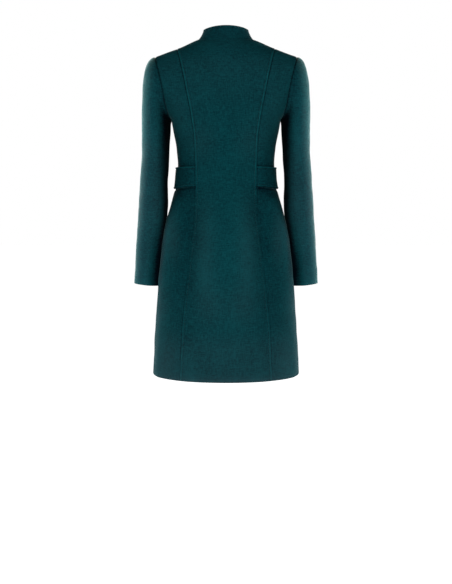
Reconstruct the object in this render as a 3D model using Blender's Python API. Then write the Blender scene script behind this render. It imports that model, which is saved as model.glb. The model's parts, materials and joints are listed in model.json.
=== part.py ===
"""A fitted, flared coat in teal wool melton, filled out as it is worn, with nobody inside.

Metres, +Z up, +Y towards the front of the coat and +X to the wearer's right, so the back of the
coat faces -Y. The origin is where the coat sits on the shoulders: on the middle line, on the
shoulder ridge, level with the sides of the neck.

Every panel is cut from one body surface. A point of it has a face (BACK or FRONT), a turn, which
is the angle from the middle of that face to the side, and a level, which runs from -1 at the hem
through 0 at the underarm to 1 on the shoulder ridge.
"""

import math

import bmesh
import bpy
import numpy as np

# Cloth
CLOTH = 0.0025
SEAM_GAP = 0.0003
MELTON_COLOUR = (0.0045, 0.039, 0.047, 1.0)
MELTON_ROUGHNESS = 0.92

# Faces of the body surface, as signs of Y
BACK = -1
FRONT = 1

# Heights and the shoulder line
HEM_Z = -0.8855
UNDERARM_Z = -0.212
SHOULDER_TIP_X = 0.187
SHOULDER_TIP_Z = -0.044
SHOULDER_SLOPE = 0.412
SHOULDER_ROUNDING = 0.030
SHOULDER_DIP = 0.0022

# Body sections. Columns: z, half width, depth behind and in front of the side seams, squareness
BODY_SECTIONS = (
    (-0.8855, 0.1950, 0.160, 0.150, 2.15),
    (-0.760, 0.1885, 0.156, 0.145, 2.15),
    (-0.640, 0.1800, 0.148, 0.136, 2.18),
    (-0.560, 0.1725, 0.141, 0.128, 2.20),
    (-0.500, 0.1640, 0.132, 0.121, 2.22),
    (-0.450, 0.1510, 0.120, 0.114, 2.25),
    (-0.405, 0.1385, 0.108, 0.108, 2.28),
    (-0.391, 0.1338, 0.104, 0.106, 2.29),
    (-0.365, 0.1300, 0.100, 0.105, 2.30),
    (-0.325, 0.1280, 0.098, 0.108, 2.32),
    (-0.290, 0.1310, 0.101, 0.116, 2.45),
    (-0.250, 0.1375, 0.107, 0.124, 2.80),
    (-0.212, 0.1440, 0.110, 0.122, 3.00),
)

# Above the underarm the sections widen towards the sleeves and arch over to the shoulder ridge
SHOULDER_WIDENING = 0.80
ARCH_AT_MIDDLE = {BACK: 2.60, FRONT: 1.35}
ARCH_AT_TIP = {BACK: 2.40, FRONT: 2.20}

# Princess seams, from the hem to the shoulder. Columns: z, x
PRINCESS_SEAMS = {
    BACK: (
        (-0.8855, 0.1180),
        (-0.752, 0.1125),
        (-0.693, 0.1070),
        (-0.560, 0.0920),
        (-0.444, 0.0800),
        (-0.368, 0.0790),
        (-0.313, 0.0800),
        (-0.259, 0.0823),
        (-0.205, 0.0893),
        (-0.151, 0.0995),
        (-0.089, 0.1118),
        (-0.020, 0.1290),
    ),
    FRONT: (
        (-0.8855, 0.1250),
        (-0.750, 0.1160),
        (-0.600, 0.1000),
        (-0.430, 0.0815),
        (-0.370, 0.0800),
        (-0.310, 0.0840),
        (-0.250, 0.0920),
        (-0.170, 0.1000),
        (-0.100, 0.1110),
        (-0.020, 0.1290),
    ),
}

# The skirt dips along the princess seams and swells between them. Columns: z, depth
SEAM_FLUTES = (
    (-0.8855, 0.0005),
    (-0.790, 0.0020),
    (-0.700, 0.0060),
    (-0.610, 0.0110),
    (-0.520, 0.0135),
    (-0.450, 0.0110),
    (-0.400, 0.0050),
    (-0.350, 0.0),
)
FLUTE_HALF_WIDTH = 0.032
FLUTE_OFFSET = 0.008
FLUTE_FADE = 0.030

# Armhole: full behind and scooped in front of a straight line from the underarm to the shoulder tip.
# Columns: share of the way up, distance outside the line
ARMHOLE_LINE = {
    BACK: (
        (0.0, 0.0),
        (0.10, 0.0034),
        (0.22, 0.0042),
        (0.35, 0.0024),
        (0.50, 0.0),
        (0.75, -0.0012),
        (1.0, 0.0),
    ),
    FRONT: ((0.0, 0.0), (0.5, -0.008), (1.0, 0.0)),
}

# Neck: an oval in plan, on which the stand collar is sewn
NECK_HALF_WIDTH = 0.073
NECK_REACH = {BACK: 0.067, FRONT: 0.073}
COLLAR_TOP_HALF_WIDTH = 0.0595
COLLAR_TOP_REACH = {BACK: 0.057, FRONT: 0.067}
COLLAR_TOP_Z = {"back": 0.0340, "side": 0.028, "front": -0.034}
COLLAR_END_GAP = 0.0015
COLLAR_CORNER = 0.012
COLLAR_BOW = 0.0022

# Front edges: the right front laps over the left one
LAP = 0.0365
LAP_RISE = 0.0031
LAP_RAMP = (0.082, 0.050)

# Half belts at the waist, sewn into the princess seams. Columns: share of the way round, top, bottom
BELT_THICKNESS = 0.0038
BELT_STANDOFF = {"bottom": 0.0007, "top": 0.0022}
BELT_EDGES = ((0.0, -0.3340, -0.3870), (0.5, -0.3363, -0.3943), (1.0, -0.3340, -0.3870))

# Sleeve tube below the cap. Columns: z, x, y, half width, half depth, squareness at the inner back
SLEEVE_RINGS = (
    (-0.656, 0.2140, 0.088, 0.0382, 0.047, 1.38),
    (-0.600, 0.2098, 0.076, 0.0384, 0.049, 1.48),
    (-0.520, 0.2034, 0.055, 0.0390, 0.053, 1.95),
    (-0.440, 0.1958, 0.032, 0.0396, 0.057, 2.65),
    (-0.370, 0.1925, 0.014, 0.0368, 0.061, 2.55),
    (-0.300, 0.1876, 0.004, 0.0366, 0.066, 2.20),
    (-0.232, 0.1856, 0.000, 0.0380, 0.070, 2.30),
)
SLEEVE_SQUARENESS = 2.15
CUFF_SLOPE = 0.10
CAP_SPREAD = {"top": 0.120, "bottom": 0.014}
CAP_LIFT = 0.025
CAP_DROP = {"top": 0.250, "bottom": 0.016}
SLEEVE_SEAM_TURNS = (math.radians(120), math.radians(235))

# Mesh density: heights of the rows up to the underarm, closer at the waist, and counts
ROW_HEIGHTS = (
    (HEM_Z, -0.830, -0.775, -0.720, -0.665, -0.610, -0.560, -0.515, -0.475, -0.440)
    + (-0.412, -0.388, -0.362, -0.334, -0.310, -0.285, -0.260, -0.236, UNDERARM_Z)
)
UPPER_ROWS = 11
UPPER_ROW_GRADING = 1.8
SIDE_PANEL_COLUMNS = 7
SHOULDER_COLUMNS = 3
NECK_COLUMNS = 6
LAP_COLUMNS = 2
CAP_ROWS = 7
TUBE_ROWS = 11
COLLAR_ROWS = 4
CORNER_COLUMNS = 3
BELT_ROWS = 3

STEP = 1e-4
SOLVER_ROUNDS = 40


def smooth_table(rows, at):
    """Every column after the first, read at given values of the first on a curve that adds no bumps."""
    rows = np.array(rows, float)
    knots, values = rows[:, 0], rows[:, 1:]
    gaps = np.diff(knots)[:, None]
    slopes = np.diff(values, axis=0) / gaps
    tangents = np.zeros_like(values)
    tangents[0], tangents[-1] = slopes[0], slopes[-1]
    before, after = slopes[:-1], slopes[1:]
    same_way = before * after > 0
    total = np.where(same_way, before + after, 1.0)
    tangents[1:-1] = np.where(same_way, 2 * before * after / total, 0.0)
    at = np.clip(np.asarray(at, float), knots[0], knots[-1])
    cell = np.clip(np.searchsorted(knots, at, side="right") - 1, 0, len(knots) - 2)
    width = gaps[cell]
    t = ((at - knots[cell])[..., None]) / width
    value = (
        (2 * t**3 - 3 * t**2 + 1) * values[cell]
        + (t**3 - 2 * t**2 + t) * width * tangents[cell]
        + (3 * t**2 - 2 * t**3) * values[cell + 1]
        + (t**3 - t**2) * width * tangents[cell + 1]
    )
    return [value[..., column] for column in range(value.shape[-1])]


def blend(share):
    """A soft step from 0 to 1."""
    share = np.clip(share, 0.0, 1.0)
    return share * share * (3 - 2 * share)


def oval_reach(turn, power):
    """Distance to a unit superellipse in the direction of turn."""
    return (np.abs(np.sin(turn)) ** power + np.abs(np.cos(turn)) ** power) ** (-1 / power)


def unit(vectors):
    return vectors / np.linalg.norm(vectors, axis=-1, keepdims=True)


# The body surface


def ridge_height(x):
    """Height of the shoulder ridge, which slopes down from the neck to the tips."""
    rounded = np.sqrt(np.square(x) + SHOULDER_ROUNDING**2)
    at_tip = math.hypot(SHOULDER_TIP_X, SHOULDER_ROUNDING)
    from_neck = (np.abs(x) - NECK_HALF_WIDTH) / (SHOULDER_TIP_X - NECK_HALF_WIDTH)
    dip = SHOULDER_DIP * np.sin(math.pi * np.clip(from_neck, 0.0, 1.0)) ** 2
    return SHOULDER_TIP_Z + SHOULDER_SLOPE * (at_tip - rounded) - dip


def section_at(face, level):
    """Half width, depth and squareness of the section at a level, and the height of its lower part."""
    low = np.minimum(level, 0.0)
    height = UNDERARM_Z + low * (UNDERARM_Z - HEM_Z)
    width, back, front, squareness = smooth_table(BODY_SECTIONS, height)
    climb = np.sin(np.maximum(level, 0.0) * math.pi / 2)
    width = width + SHOULDER_WIDENING * climb * (SHOULDER_TIP_Z - UNDERARM_Z)
    return width, back if face == BACK else front, squareness, height


def body_point(face, turn, level):
    turn, level = np.broadcast_arrays(np.asarray(turn, float), np.asarray(level, float))
    width, depth, squareness, height = section_at(face, level)
    reach = oval_reach(turn, squareness)
    x = width * reach * np.sin(turn)
    rise = np.maximum(level, 0.0) * math.pi / 2
    towards_tip = blend(np.abs(x) / SHOULDER_TIP_X)
    arch = ARCH_AT_MIDDLE[face] + (ARCH_AT_TIP[face] - ARCH_AT_MIDDLE[face]) * towards_tip
    arch_reach = oval_reach(rise, arch)
    flat_depth = depth * reach * np.cos(turn)
    y = flat_depth * arch_reach * np.cos(rise) - seam_flute(face, x, height)
    z = height + arch_reach * np.sin(rise) * (ridge_height(x) - UNDERARM_Z)
    return np.stack([x, face * y, z], axis=-1)


def seam_flute(face, x, height):
    (depth,) = smooth_table(SEAM_FLUTES, height)
    (seam_x,) = smooth_table(PRINCESS_SEAMS[face], height)
    half_width = smooth_table(BODY_SECTIONS, height)[0]
    away = (np.abs(x) - seam_x - FLUTE_OFFSET) / FLUTE_HALF_WIDTH
    return depth * np.exp(-away * away) * blend((half_width - np.abs(x)) / FLUTE_FADE)


def body_normal(face, turn, level):
    level = np.asarray(level, float)
    along_turn = body_point(face, turn + STEP, level) - body_point(face, turn - STEP, level)
    above = np.minimum(level + STEP, 1.0)
    below = np.maximum(level - STEP, -1.0)
    along_level = body_point(face, turn, above) - body_point(face, turn, below)
    return unit(np.cross(along_turn, along_level) * -face)


def turn_at_x(face, x, level):
    """The turn at which the section of a level reaches x."""
    width, _, squareness, _ = section_at(face, level)
    share = np.clip(np.abs(x) / width, 0.0, 1 - 1e-9) ** squareness
    return np.sign(x) * np.arctan((share / (1 - share)) ** (1 / squareness))


def turn_on_line(face, side, level, line):
    """The turn at each level where the surface crosses a line that gives x from z."""
    level = np.asarray(level, float)
    turn = np.full(level.shape, side * 0.5)
    for _ in range(SOLVER_ROUNDS):
        z = body_point(face, turn, level)[..., 2]
        turn = turn_at_x(face, side * line(z), level)
    return turn


def princess_turn(face, side, level):
    return turn_on_line(face, side, level, lambda z: smooth_table(PRINCESS_SEAMS[face], z)[0])


def armhole_x(face, z):
    """x of the armhole seam from its height; below the underarm it is the side of the body."""
    share = np.clip((z - UNDERARM_Z) / (SHOULDER_TIP_Z - UNDERARM_Z), 0.0, 1.0)
    side_x = smooth_table(BODY_SECTIONS, UNDERARM_Z)[0]
    return side_x + (SHOULDER_TIP_X - side_x) * share + smooth_table(ARMHOLE_LINE[face], share)[0]


def side_turn(face, side, level):
    """The side seam up to the underarm, and the armhole above it."""
    level = np.asarray(level, float)
    on_armhole = turn_on_line(face, side, np.maximum(level, 0.0), lambda z: armhole_x(face, z))
    return np.where(level <= 0, side * math.pi / 2, on_armhole)


def turn_gap(face, turn, level, gap):
    """The change of turn that moves a point sideways by a gap."""
    across = body_point(face, turn + STEP, level) - body_point(face, turn - STEP, level)
    return gap * 2 * STEP / np.linalg.norm(across, axis=-1)


def neck_y(face, x):
    return face * NECK_REACH[face] * np.sqrt(np.clip(1 - np.square(x / NECK_HALF_WIDTH), 0.0, 1.0))


def neck_level(face, x):
    """The level at which the body surface meets the neck oval above x."""
    low = np.zeros(np.shape(x))
    high = np.ones(np.shape(x))
    wanted = np.abs(neck_y(face, x))
    for _ in range(SOLVER_ROUNDS):
        middle = (low + high) / 2
        depth = np.abs(body_point(face, turn_at_x(face, x, middle), middle)[..., 1])
        too_low = depth > wanted
        low = np.where(too_low, middle, low)
        high = np.where(too_low, high, middle)
    return (low + high) / 2


# Panels of the body, as grids of turn and level


def shoulder_level(face, turn):
    """The level just short of the ridge, where the shoulder seam leaves half its gap."""
    edge = body_point(face, turn, 1.0) - body_point(face, turn, 1.0 - STEP)
    return 1.0 - SEAM_GAP / 2 * STEP / np.linalg.norm(edge, axis=-1)


def level_of(z):
    """The level of a height up to the underarm."""
    return (z - UNDERARM_Z) / (UNDERARM_Z - HEM_Z)


def level_rows(top):
    """Levels of every row of a column from the hem to its top."""
    lower = level_of(np.array(ROW_HEIGHTS[:-1]))
    return np.concatenate([lower, upper_rows() * top])


def upper_rows():
    """Shares of the way up from the underarm to the top, closer where the armhole turns."""
    return np.linspace(0.0, 1.0, UPPER_ROWS + 1) ** UPPER_ROW_GRADING


def side_panel(face, side):
    """Grid of a side back or side front, from its princess seam to the side seam and armhole."""
    turns = []
    levels = []
    for share in np.linspace(0.0, 1.0, SIDE_PANEL_COLUMNS + 1):
        rows = level_rows(1.0)
        inner = princess_turn(face, side, rows)
        outer = side_turn(face, side, rows)
        rows = level_rows(float(shoulder_level(face, inner[-1] + (outer[-1] - inner[-1]) * share)))
        inner = inner + side * turn_gap(face, inner, rows, SEAM_GAP / 2)
        below_underarm = rows <= 0
        outer = outer - side * below_underarm * turn_gap(face, outer, rows, SEAM_GAP / 2)
        turns.append(inner + (outer - inner) * share)
        levels.append(rows)
    return np.array(turns), np.array(levels)


def middle_panel(face, first_edge, last_edge, top_xs):
    """Grid of a panel that ends at the neck: each column runs up to its own point of the top edge."""
    turns = []
    levels = []
    for share, top_x in zip(np.linspace(0.0, 1.0, len(top_xs)), top_xs):
        on_shoulder = abs(top_x) >= NECK_HALF_WIDTH
        if on_shoulder:
            top = float(shoulder_level(face, turn_at_x(face, top_x, 1.0)))
        else:
            top = float(neck_level(face, top_x))
        rows = level_rows(top)
        first, last = first_edge(rows), last_edge(rows)
        top_turn = turn_at_x(face, top_x, top)
        top_share = np.clip((top_turn - first[-1]) / (last[-1] - first[-1]), 0.0, 1.0)
        climb = np.maximum(rows, 0.0) / top
        turns.append(first + (last - first) * (share + (top_share - share) * climb))
        levels.append(rows)
    return np.array(turns), np.array(levels)


def princess_edge(face, side):
    """The edge of a middle panel along its princess seam."""

    def edge(rows):
        turn = princess_turn(face, side, rows)
        return turn - side * turn_gap(face, turn, rows, SEAM_GAP / 2)

    return edge


def shoulder_and_neck_xs(face, side, neck_turns):
    """x along a panel's top edge: down the shoulder from the princess seam, then round the neck."""
    seam_x = float(body_point(face, princess_turn(face, side, 1.0), 1.0)[0])
    shoulder = np.linspace(seam_x, side * NECK_HALF_WIDTH, SHOULDER_COLUMNS + 1)
    neck = side * NECK_HALF_WIDTH * np.sin(neck_turns)
    return np.concatenate([shoulder, neck[1:]])


def back_centre_panel():
    half = shoulder_and_neck_xs(BACK, -1, np.linspace(math.pi / 2, 0.0, NECK_COLUMNS + 1))
    top_xs = np.concatenate([half, -half[-2::-1]])
    return middle_panel(BACK, princess_edge(BACK, -1), princess_edge(BACK, 1), top_xs)


def front_panel(side):
    """A front from its princess seam past the middle line, by the lap."""
    to_middle = np.linspace(math.pi / 2, 0.0, NECK_COLUMNS + 1)
    past_middle = np.linspace(0.0, -math.asin(LAP / NECK_HALF_WIDTH), LAP_COLUMNS + 1)
    top_xs = shoulder_and_neck_xs(FRONT, side, np.concatenate([to_middle, past_middle[1:]]))
    return middle_panel(
        FRONT, princess_edge(FRONT, side), lambda rows: turn_at_x(FRONT, -side * LAP, rows), top_xs
    )


def lap_rise(x):
    """How far the right front stands out where it lies over the left one."""
    start, full = LAP_RAMP
    return LAP_RISE * blend((start - x) / (start - full))


def body_wall(face, grid, rise=None):
    """Outer and inner points of a cloth wall on the body surface."""
    turns, levels = grid
    points = body_point(face, turns, levels)
    normals = body_normal(face, turns, levels)
    lift = np.zeros(points.shape[:2]) if rise is None else rise(points[..., 0])
    outer = points + normals * lift[..., None]
    return outer, outer - normals * CLOTH


# Collar


def neck_point(turn):
    """A point of the neck seam: turn 0 is the middle of the back, pi the middle of the front."""
    turn = np.asarray(turn, float)
    x = NECK_HALF_WIDTH * np.sin(turn)
    points = np.zeros(turn.shape + (3,))
    for face in (BACK, FRONT):
        level = neck_level(face, x)
        here = body_point(face, turn_at_x(face, x, level), level)
        chosen = (np.cos(turn) >= 0) == (face == BACK)
        points = np.where(chosen[..., None], here, points)
    return points


def collar_top(turn):
    """A point of the collar's upper edge, which falls towards the front."""
    behind = np.cos(turn) >= 0
    reach = np.where(behind, COLLAR_TOP_REACH[BACK], COLLAR_TOP_REACH[FRONT])
    end_z = np.where(behind, COLLAR_TOP_Z["back"], COLLAR_TOP_Z["front"])
    share = np.square(np.cos(turn))
    z = COLLAR_TOP_Z["side"] + (end_z - COLLAR_TOP_Z["side"]) * share
    return np.stack([COLLAR_TOP_HALF_WIDTH * np.sin(turn), -reach * np.cos(turn), z], axis=-1)


def bowed_in(turn, climb):
    """How far the collar curves in towards the neck between its two edges."""
    outward = np.stack([np.sin(turn), -np.cos(turn), 0 * turn], axis=-1)
    return COLLAR_BOW * outward[:, None] * np.sin(math.pi * climb)[..., None]


def collar_wall():
    """Outer and inner points of the stand collar, with rounded corners at its two front ends."""
    knots = np.linspace(-math.pi, math.pi, 4 * NECK_COLUMNS + 1)
    knot_points = neck_point(knots)
    end_turn = math.pi - COLLAR_END_GAP / NECK_HALF_WIDTH
    corner = np.linspace(knots[-2], end_turn, CORNER_COLUMNS + 1)
    turn = np.concatenate([-corner[::-1], knots[2:-2], corner])
    base = np.stack([np.interp(turn, knots, knot_points[:, axis]) for axis in range(3)], axis=-1)
    top = collar_top(turn)
    height = np.linalg.norm(top - base, axis=-1)
    from_end = (end_turn - np.abs(turn)) * COLLAR_TOP_REACH[FRONT]
    into_corner = np.clip(COLLAR_CORNER - from_end, 0.0, COLLAR_CORNER)
    cut = COLLAR_CORNER - np.sqrt(COLLAR_CORNER**2 - np.square(into_corner))
    share = np.linspace(0.0, 1.0, COLLAR_ROWS + 1)
    start = SEAM_GAP / height
    climb = start[:, None] + (1 - cut / height - start)[:, None] * share
    outer = base[:, None] + (top - base)[:, None] * climb[..., None]
    outer = outer - bowed_in(turn, climb)
    around = np.gradient(outer, axis=0)
    upward = np.gradient(outer, axis=1)
    normal = unit(np.cross(around, upward))
    return outer, outer - normal * CLOTH


# Sleeves


def armhole_knots(side):
    """Corners of the armhole seam from the shoulder tip down the back and up the front, and their turns.

    The turns share out one round of the sleeve by length along the seam.
    """
    rows = upper_rows()
    down = body_point(BACK, side_turn(BACK, side, rows[::-1]), rows[::-1])
    up = body_point(FRONT, side_turn(FRONT, side, rows), rows)
    loop = np.concatenate([down, up[1:]])
    lengths = np.concatenate([[0.0], np.cumsum(np.linalg.norm(np.diff(loop, axis=0), axis=1))])
    return 2 * math.pi * lengths / lengths[-1], loop


def armhole_loop(turn, side):
    knots, loop = armhole_knots(side)
    wanted = np.mod(turn, 2 * math.pi)
    return np.stack([np.interp(wanted, knots, loop[:, axis]) for axis in range(3)], axis=-1)


def sleeve_ring(turn, height, side):
    """Points of the sleeve tube: turn 0 is its outer side, pi/2 its back and pi the side at the body."""
    x, y, half_width, half_depth, inner_back = smooth_table(SLEEVE_RINGS, height)
    at_inner_back = (np.cos(turn) < 0) & (np.sin(turn) > 0)
    reach = oval_reach(turn, np.where(at_inner_back, inner_back, SLEEVE_SQUARENESS))
    outward = half_width * reach * np.cos(turn)
    z = height + CUFF_SLOPE * outward
    return np.stack([side * (x + outward), y - half_depth * reach * np.sin(turn), z], axis=-1)


def sleeve_point(turn, along, side):
    """Points of a sleeve: along runs from 0 at the armhole over the cap to 1 and down the tube to 2."""
    turn, along = np.broadcast_arrays(np.asarray(turn, float), np.asarray(along, float))
    cuff, cap_end = SLEEVE_RINGS[0][0], SLEEVE_RINGS[-1][0]
    tilt = (SHOULDER_TIP_X - float(armhole_x(BACK, UNDERARM_Z))) / (SHOULDER_TIP_Z - UNDERARM_Z)
    outward = unit(np.array([side, 0.0, -tilt]))
    start = armhole_loop(turn, side) + outward * SEAM_GAP
    at_top = (1 + np.cos(turn)) / 2
    lift = np.array([0.0, 0.0, CAP_LIFT]) * blend(2 * at_top - 1)[..., None]
    spread = CAP_SPREAD["bottom"] + (CAP_SPREAD["top"] - CAP_SPREAD["bottom"]) * at_top
    drop = CAP_DROP["bottom"] + (CAP_DROP["top"] - CAP_DROP["bottom"]) * at_top
    t = np.clip(along, 0.0, 1.0)[..., None]
    cap = (
        (2 * t**3 - 3 * t**2 + 1) * start
        + (t**3 - 2 * t**2 + t) * (outward * spread[..., None] + lift)
        + (3 * t**2 - 2 * t**3) * sleeve_ring(turn, cap_end, side)
        + (t**3 - t**2) * np.array([0.0, 0.0, -1.0]) * drop[..., None]
    )
    height = cap_end + (cuff - cap_end) * np.clip(along - 1, 0.0, 1.0)
    return np.where((along > 1)[..., None], sleeve_ring(turn, height, side), cap)


def sleeve_wall(first, last, side):
    """Outer and inner points of one piece of a sleeve, from one corner of the armhole to another."""
    knots, _ = armhole_knots(side)
    corners = len(knots) - 1
    turn = np.array([knots[i % corners] + 2 * math.pi * (i // corners) for i in range(first, last + 1)])
    along = np.concatenate(
        [np.linspace(0.0, 1.0, CAP_ROWS + 1), np.linspace(1.0, 2.0, TUBE_ROWS + 1)[1:]]
    )
    turn, along = np.meshgrid(turn, along, indexing="ij")
    around = sleeve_point(turn + STEP, along, side) - sleeve_point(turn - STEP, along, side)
    before, after = np.maximum(along - STEP, 0.0), np.minimum(along + STEP, 2.0)
    down = sleeve_point(turn, after, side) - sleeve_point(turn, before, side)
    normal = unit(np.cross(around, down) * side)
    gap = SEAM_GAP / 2 / SLEEVE_RINGS[0][4]
    turn[0] += gap
    turn[-1] -= gap
    outer = sleeve_point(turn, along, side)
    return outer, outer - normal * CLOTH


def sleeve_seams(side):
    """The corners of the armhole nearest to the back and front seams of the sleeve."""
    knots, _ = armhole_knots(side)
    return [int(np.argmin(np.abs(knots - turn))) for turn in SLEEVE_SEAM_TURNS]


# Half belts


def belt_wall(side):
    """Outer and inner points of a half belt, which lies on the side panels from seam to seam."""
    share = np.linspace(0.0, 1.0, 2 * SIDE_PANEL_COLUMNS + 1)
    top, bottom = smooth_table(BELT_EDGES, share)
    climb = np.linspace(0.0, 1.0, BELT_ROWS + 1)
    z = bottom[:, None] + (top - bottom)[:, None] * climb
    levels = level_of(z)
    points = np.zeros(z.shape + (3,))
    normals = np.zeros(z.shape + (3,))
    for face in (BACK, FRONT):
        seam = princess_turn(face, side, levels)
        seam = seam + side * turn_gap(face, seam, levels, SEAM_GAP)
        towards_side = 2 * share if face == BACK else 2 * (1 - share)
        turn = seam + (side * math.pi / 2 - seam) * np.minimum(towards_side, 1.0)[:, None]
        here = (share <= 0.5) == (face == BACK)
        points = np.where(here[:, None, None], body_point(face, turn, levels), points)
        normals = np.where(here[:, None, None], body_normal(face, turn, levels), normals)
    standoff = BELT_STANDOFF["bottom"] + (BELT_STANDOFF["top"] - BELT_STANDOFF["bottom"]) * climb
    inner = points + normals * standoff[:, None]
    return inner + normals * BELT_THICKNESS, inner


# Solids


def melton(name):
    material = bpy.data.materials.new(name + "_melton")
    material.use_nodes = True
    shader = material.node_tree.nodes["Principled BSDF"]
    shader.inputs["Base Color"].default_value = MELTON_COLOUR
    shader.inputs["Roughness"].default_value = MELTON_ROUGHNESS
    shader.inputs["Metallic"].default_value = 0.0
    return material


def add_wall(name, wall, parent):
    """One closed wall from two matching grids of points, joined round their rims."""
    mesh = bpy.data.meshes.new(name)
    shape = bmesh.new()
    outer, inner = ([[shape.verts.new(point) for point in column] for column in grid] for grid in wall)
    columns, rows = len(outer), len(outer[0])
    for i in range(columns - 1):
        for j in range(rows - 1):
            corners = ((i, j), (i + 1, j), (i + 1, j + 1), (i, j + 1))
            shape.faces.new([outer[a][b] for a, b in corners])
            shape.faces.new([inner[a][b] for a, b in reversed(corners)])
    rim = [(i, 0) for i in range(columns - 1)]
    rim += [(columns - 1, j) for j in range(rows - 1)]
    rim += [(i, rows - 1) for i in range(columns - 1, 0, -1)]
    rim += [(0, j) for j in range(rows - 1, 0, -1)]
    for (a, b), (c, d) in zip(rim, rim[1:] + rim[:1]):
        shape.faces.new([outer[a][b], inner[a][b], inner[c][d], outer[c][d]])
    bmesh.ops.recalc_face_normals(shape, faces=shape.faces)
    shape.to_mesh(mesh)
    shape.free()
    mesh.shade_smooth()
    mesh.set_sharp_from_angle(angle=math.radians(40))
    mesh.materials.append(melton(name))
    piece = bpy.data.objects.new(name, mesh)
    bpy.context.scene.collection.objects.link(piece)
    piece.parent = parent
    return piece


def main():
    for old in list(bpy.data.objects):
        bpy.data.objects.remove(old)
    coat = bpy.data.objects.new("coat", None)
    bpy.context.scene.collection.objects.link(coat)

    add_wall("back_centre", body_wall(BACK, back_centre_panel()), coat)
    add_wall("front_left", body_wall(FRONT, front_panel(-1)), coat)
    add_wall("front_right", body_wall(FRONT, front_panel(1), lap_rise), coat)
    add_wall("collar", collar_wall(), coat)
    for side, word in ((-1, "left"), (1, "right")):
        add_wall(f"back_side_{word}", body_wall(BACK, side_panel(BACK, side)), coat)
        add_wall(f"front_side_{word}", body_wall(FRONT, side_panel(FRONT, side)), coat)
        back_seam, front_seam = sleeve_seams(side)
        round_trip = 2 * UPPER_ROWS
        add_wall(f"sleeve_upper_{word}", sleeve_wall(front_seam - round_trip, back_seam, side), coat)
        add_wall(f"sleeve_under_{word}", sleeve_wall(back_seam, front_seam, side), coat)
        add_wall(f"half_belt_{word}", belt_wall(side), coat)


main()
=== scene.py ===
"""Looks of a fitted teal melton coat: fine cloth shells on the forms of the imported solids.

Metres, in the frame of the part: +Z up, the back of the coat faces -Y and its wearer's right is +X.
Each cut piece is a thin closed shell with its seams, welts, rounded edges and creases in the mesh.
Topstitching is made of single stitches. The body surface and its sizes are those of the part.
"""

import json
import math

import bpy
import numpy as np
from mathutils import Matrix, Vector

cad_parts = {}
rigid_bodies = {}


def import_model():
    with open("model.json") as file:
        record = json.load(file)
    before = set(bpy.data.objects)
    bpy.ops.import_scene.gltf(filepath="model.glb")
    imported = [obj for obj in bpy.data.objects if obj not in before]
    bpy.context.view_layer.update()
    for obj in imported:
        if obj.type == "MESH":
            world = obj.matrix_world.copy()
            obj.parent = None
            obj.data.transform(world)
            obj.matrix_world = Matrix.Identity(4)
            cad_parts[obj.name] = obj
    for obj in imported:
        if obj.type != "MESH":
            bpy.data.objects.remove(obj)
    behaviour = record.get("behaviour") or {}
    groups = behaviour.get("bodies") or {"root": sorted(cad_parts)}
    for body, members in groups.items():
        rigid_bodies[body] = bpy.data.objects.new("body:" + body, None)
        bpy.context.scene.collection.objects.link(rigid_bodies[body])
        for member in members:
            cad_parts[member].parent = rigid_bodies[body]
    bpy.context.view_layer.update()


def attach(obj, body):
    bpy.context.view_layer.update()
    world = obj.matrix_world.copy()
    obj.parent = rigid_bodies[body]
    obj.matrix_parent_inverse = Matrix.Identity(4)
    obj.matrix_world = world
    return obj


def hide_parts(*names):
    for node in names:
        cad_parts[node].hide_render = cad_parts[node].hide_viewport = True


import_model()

# Cloth and seams, where the shells overlap by a hair, so that no light shows through
CLOTH = 0.0025
SEAM_GAP = -0.0004

# Faces of the body surface, as signs of Y
BACK = -1
FRONT = 1

# Heights and the shoulder line
HEM_Z = -0.8855
UNDERARM_Z = -0.212
SHOULDER_TIP_X = 0.187
SHOULDER_TIP_Z = -0.044
SHOULDER_SLOPE = 0.412
SHOULDER_ROUNDING = 0.030
SHOULDER_DIP = 0.0022

# Body sections. Columns: z, half width, depth behind and in front of the side seams, squareness
BODY_SECTIONS = (
    (-0.8855, 0.1950, 0.160, 0.150, 2.15),
    (-0.760, 0.1885, 0.156, 0.145, 2.15),
    (-0.640, 0.1800, 0.148, 0.136, 2.18),
    (-0.560, 0.1725, 0.141, 0.128, 2.20),
    (-0.500, 0.1640, 0.132, 0.121, 2.22),
    (-0.450, 0.1510, 0.120, 0.114, 2.25),
    (-0.405, 0.1385, 0.108, 0.108, 2.28),
    (-0.391, 0.1338, 0.104, 0.106, 2.29),
    (-0.365, 0.1300, 0.100, 0.105, 2.30),
    (-0.325, 0.1280, 0.098, 0.108, 2.32),
    (-0.290, 0.1310, 0.101, 0.116, 2.45),
    (-0.250, 0.1375, 0.107, 0.124, 2.80),
    (-0.212, 0.1440, 0.110, 0.122, 3.00),
)

# Above the underarm the sections widen towards the sleeves and arch over to the shoulder ridge
SHOULDER_WIDENING = 0.80
ARCH_AT_MIDDLE = {BACK: 2.60, FRONT: 1.35}
ARCH_AT_TIP = {BACK: 2.40, FRONT: 2.20}

# Princess seams, from the hem to the shoulder. Columns: z, x
PRINCESS_SEAMS = {
    BACK: (
        (-0.8855, 0.1180),
        (-0.752, 0.1125),
        (-0.693, 0.1070),
        (-0.560, 0.0920),
        (-0.444, 0.0800),
        (-0.368, 0.0790),
        (-0.313, 0.0800),
        (-0.259, 0.0823),
        (-0.205, 0.0893),
        (-0.151, 0.0995),
        (-0.089, 0.1118),
        (-0.020, 0.1290),
    ),
    FRONT: (
        (-0.8855, 0.1250),
        (-0.750, 0.1160),
        (-0.600, 0.1000),
        (-0.430, 0.0815),
        (-0.370, 0.0800),
        (-0.310, 0.0840),
        (-0.250, 0.0920),
        (-0.170, 0.1000),
        (-0.100, 0.1110),
        (-0.020, 0.1290),
    ),
}

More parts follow.
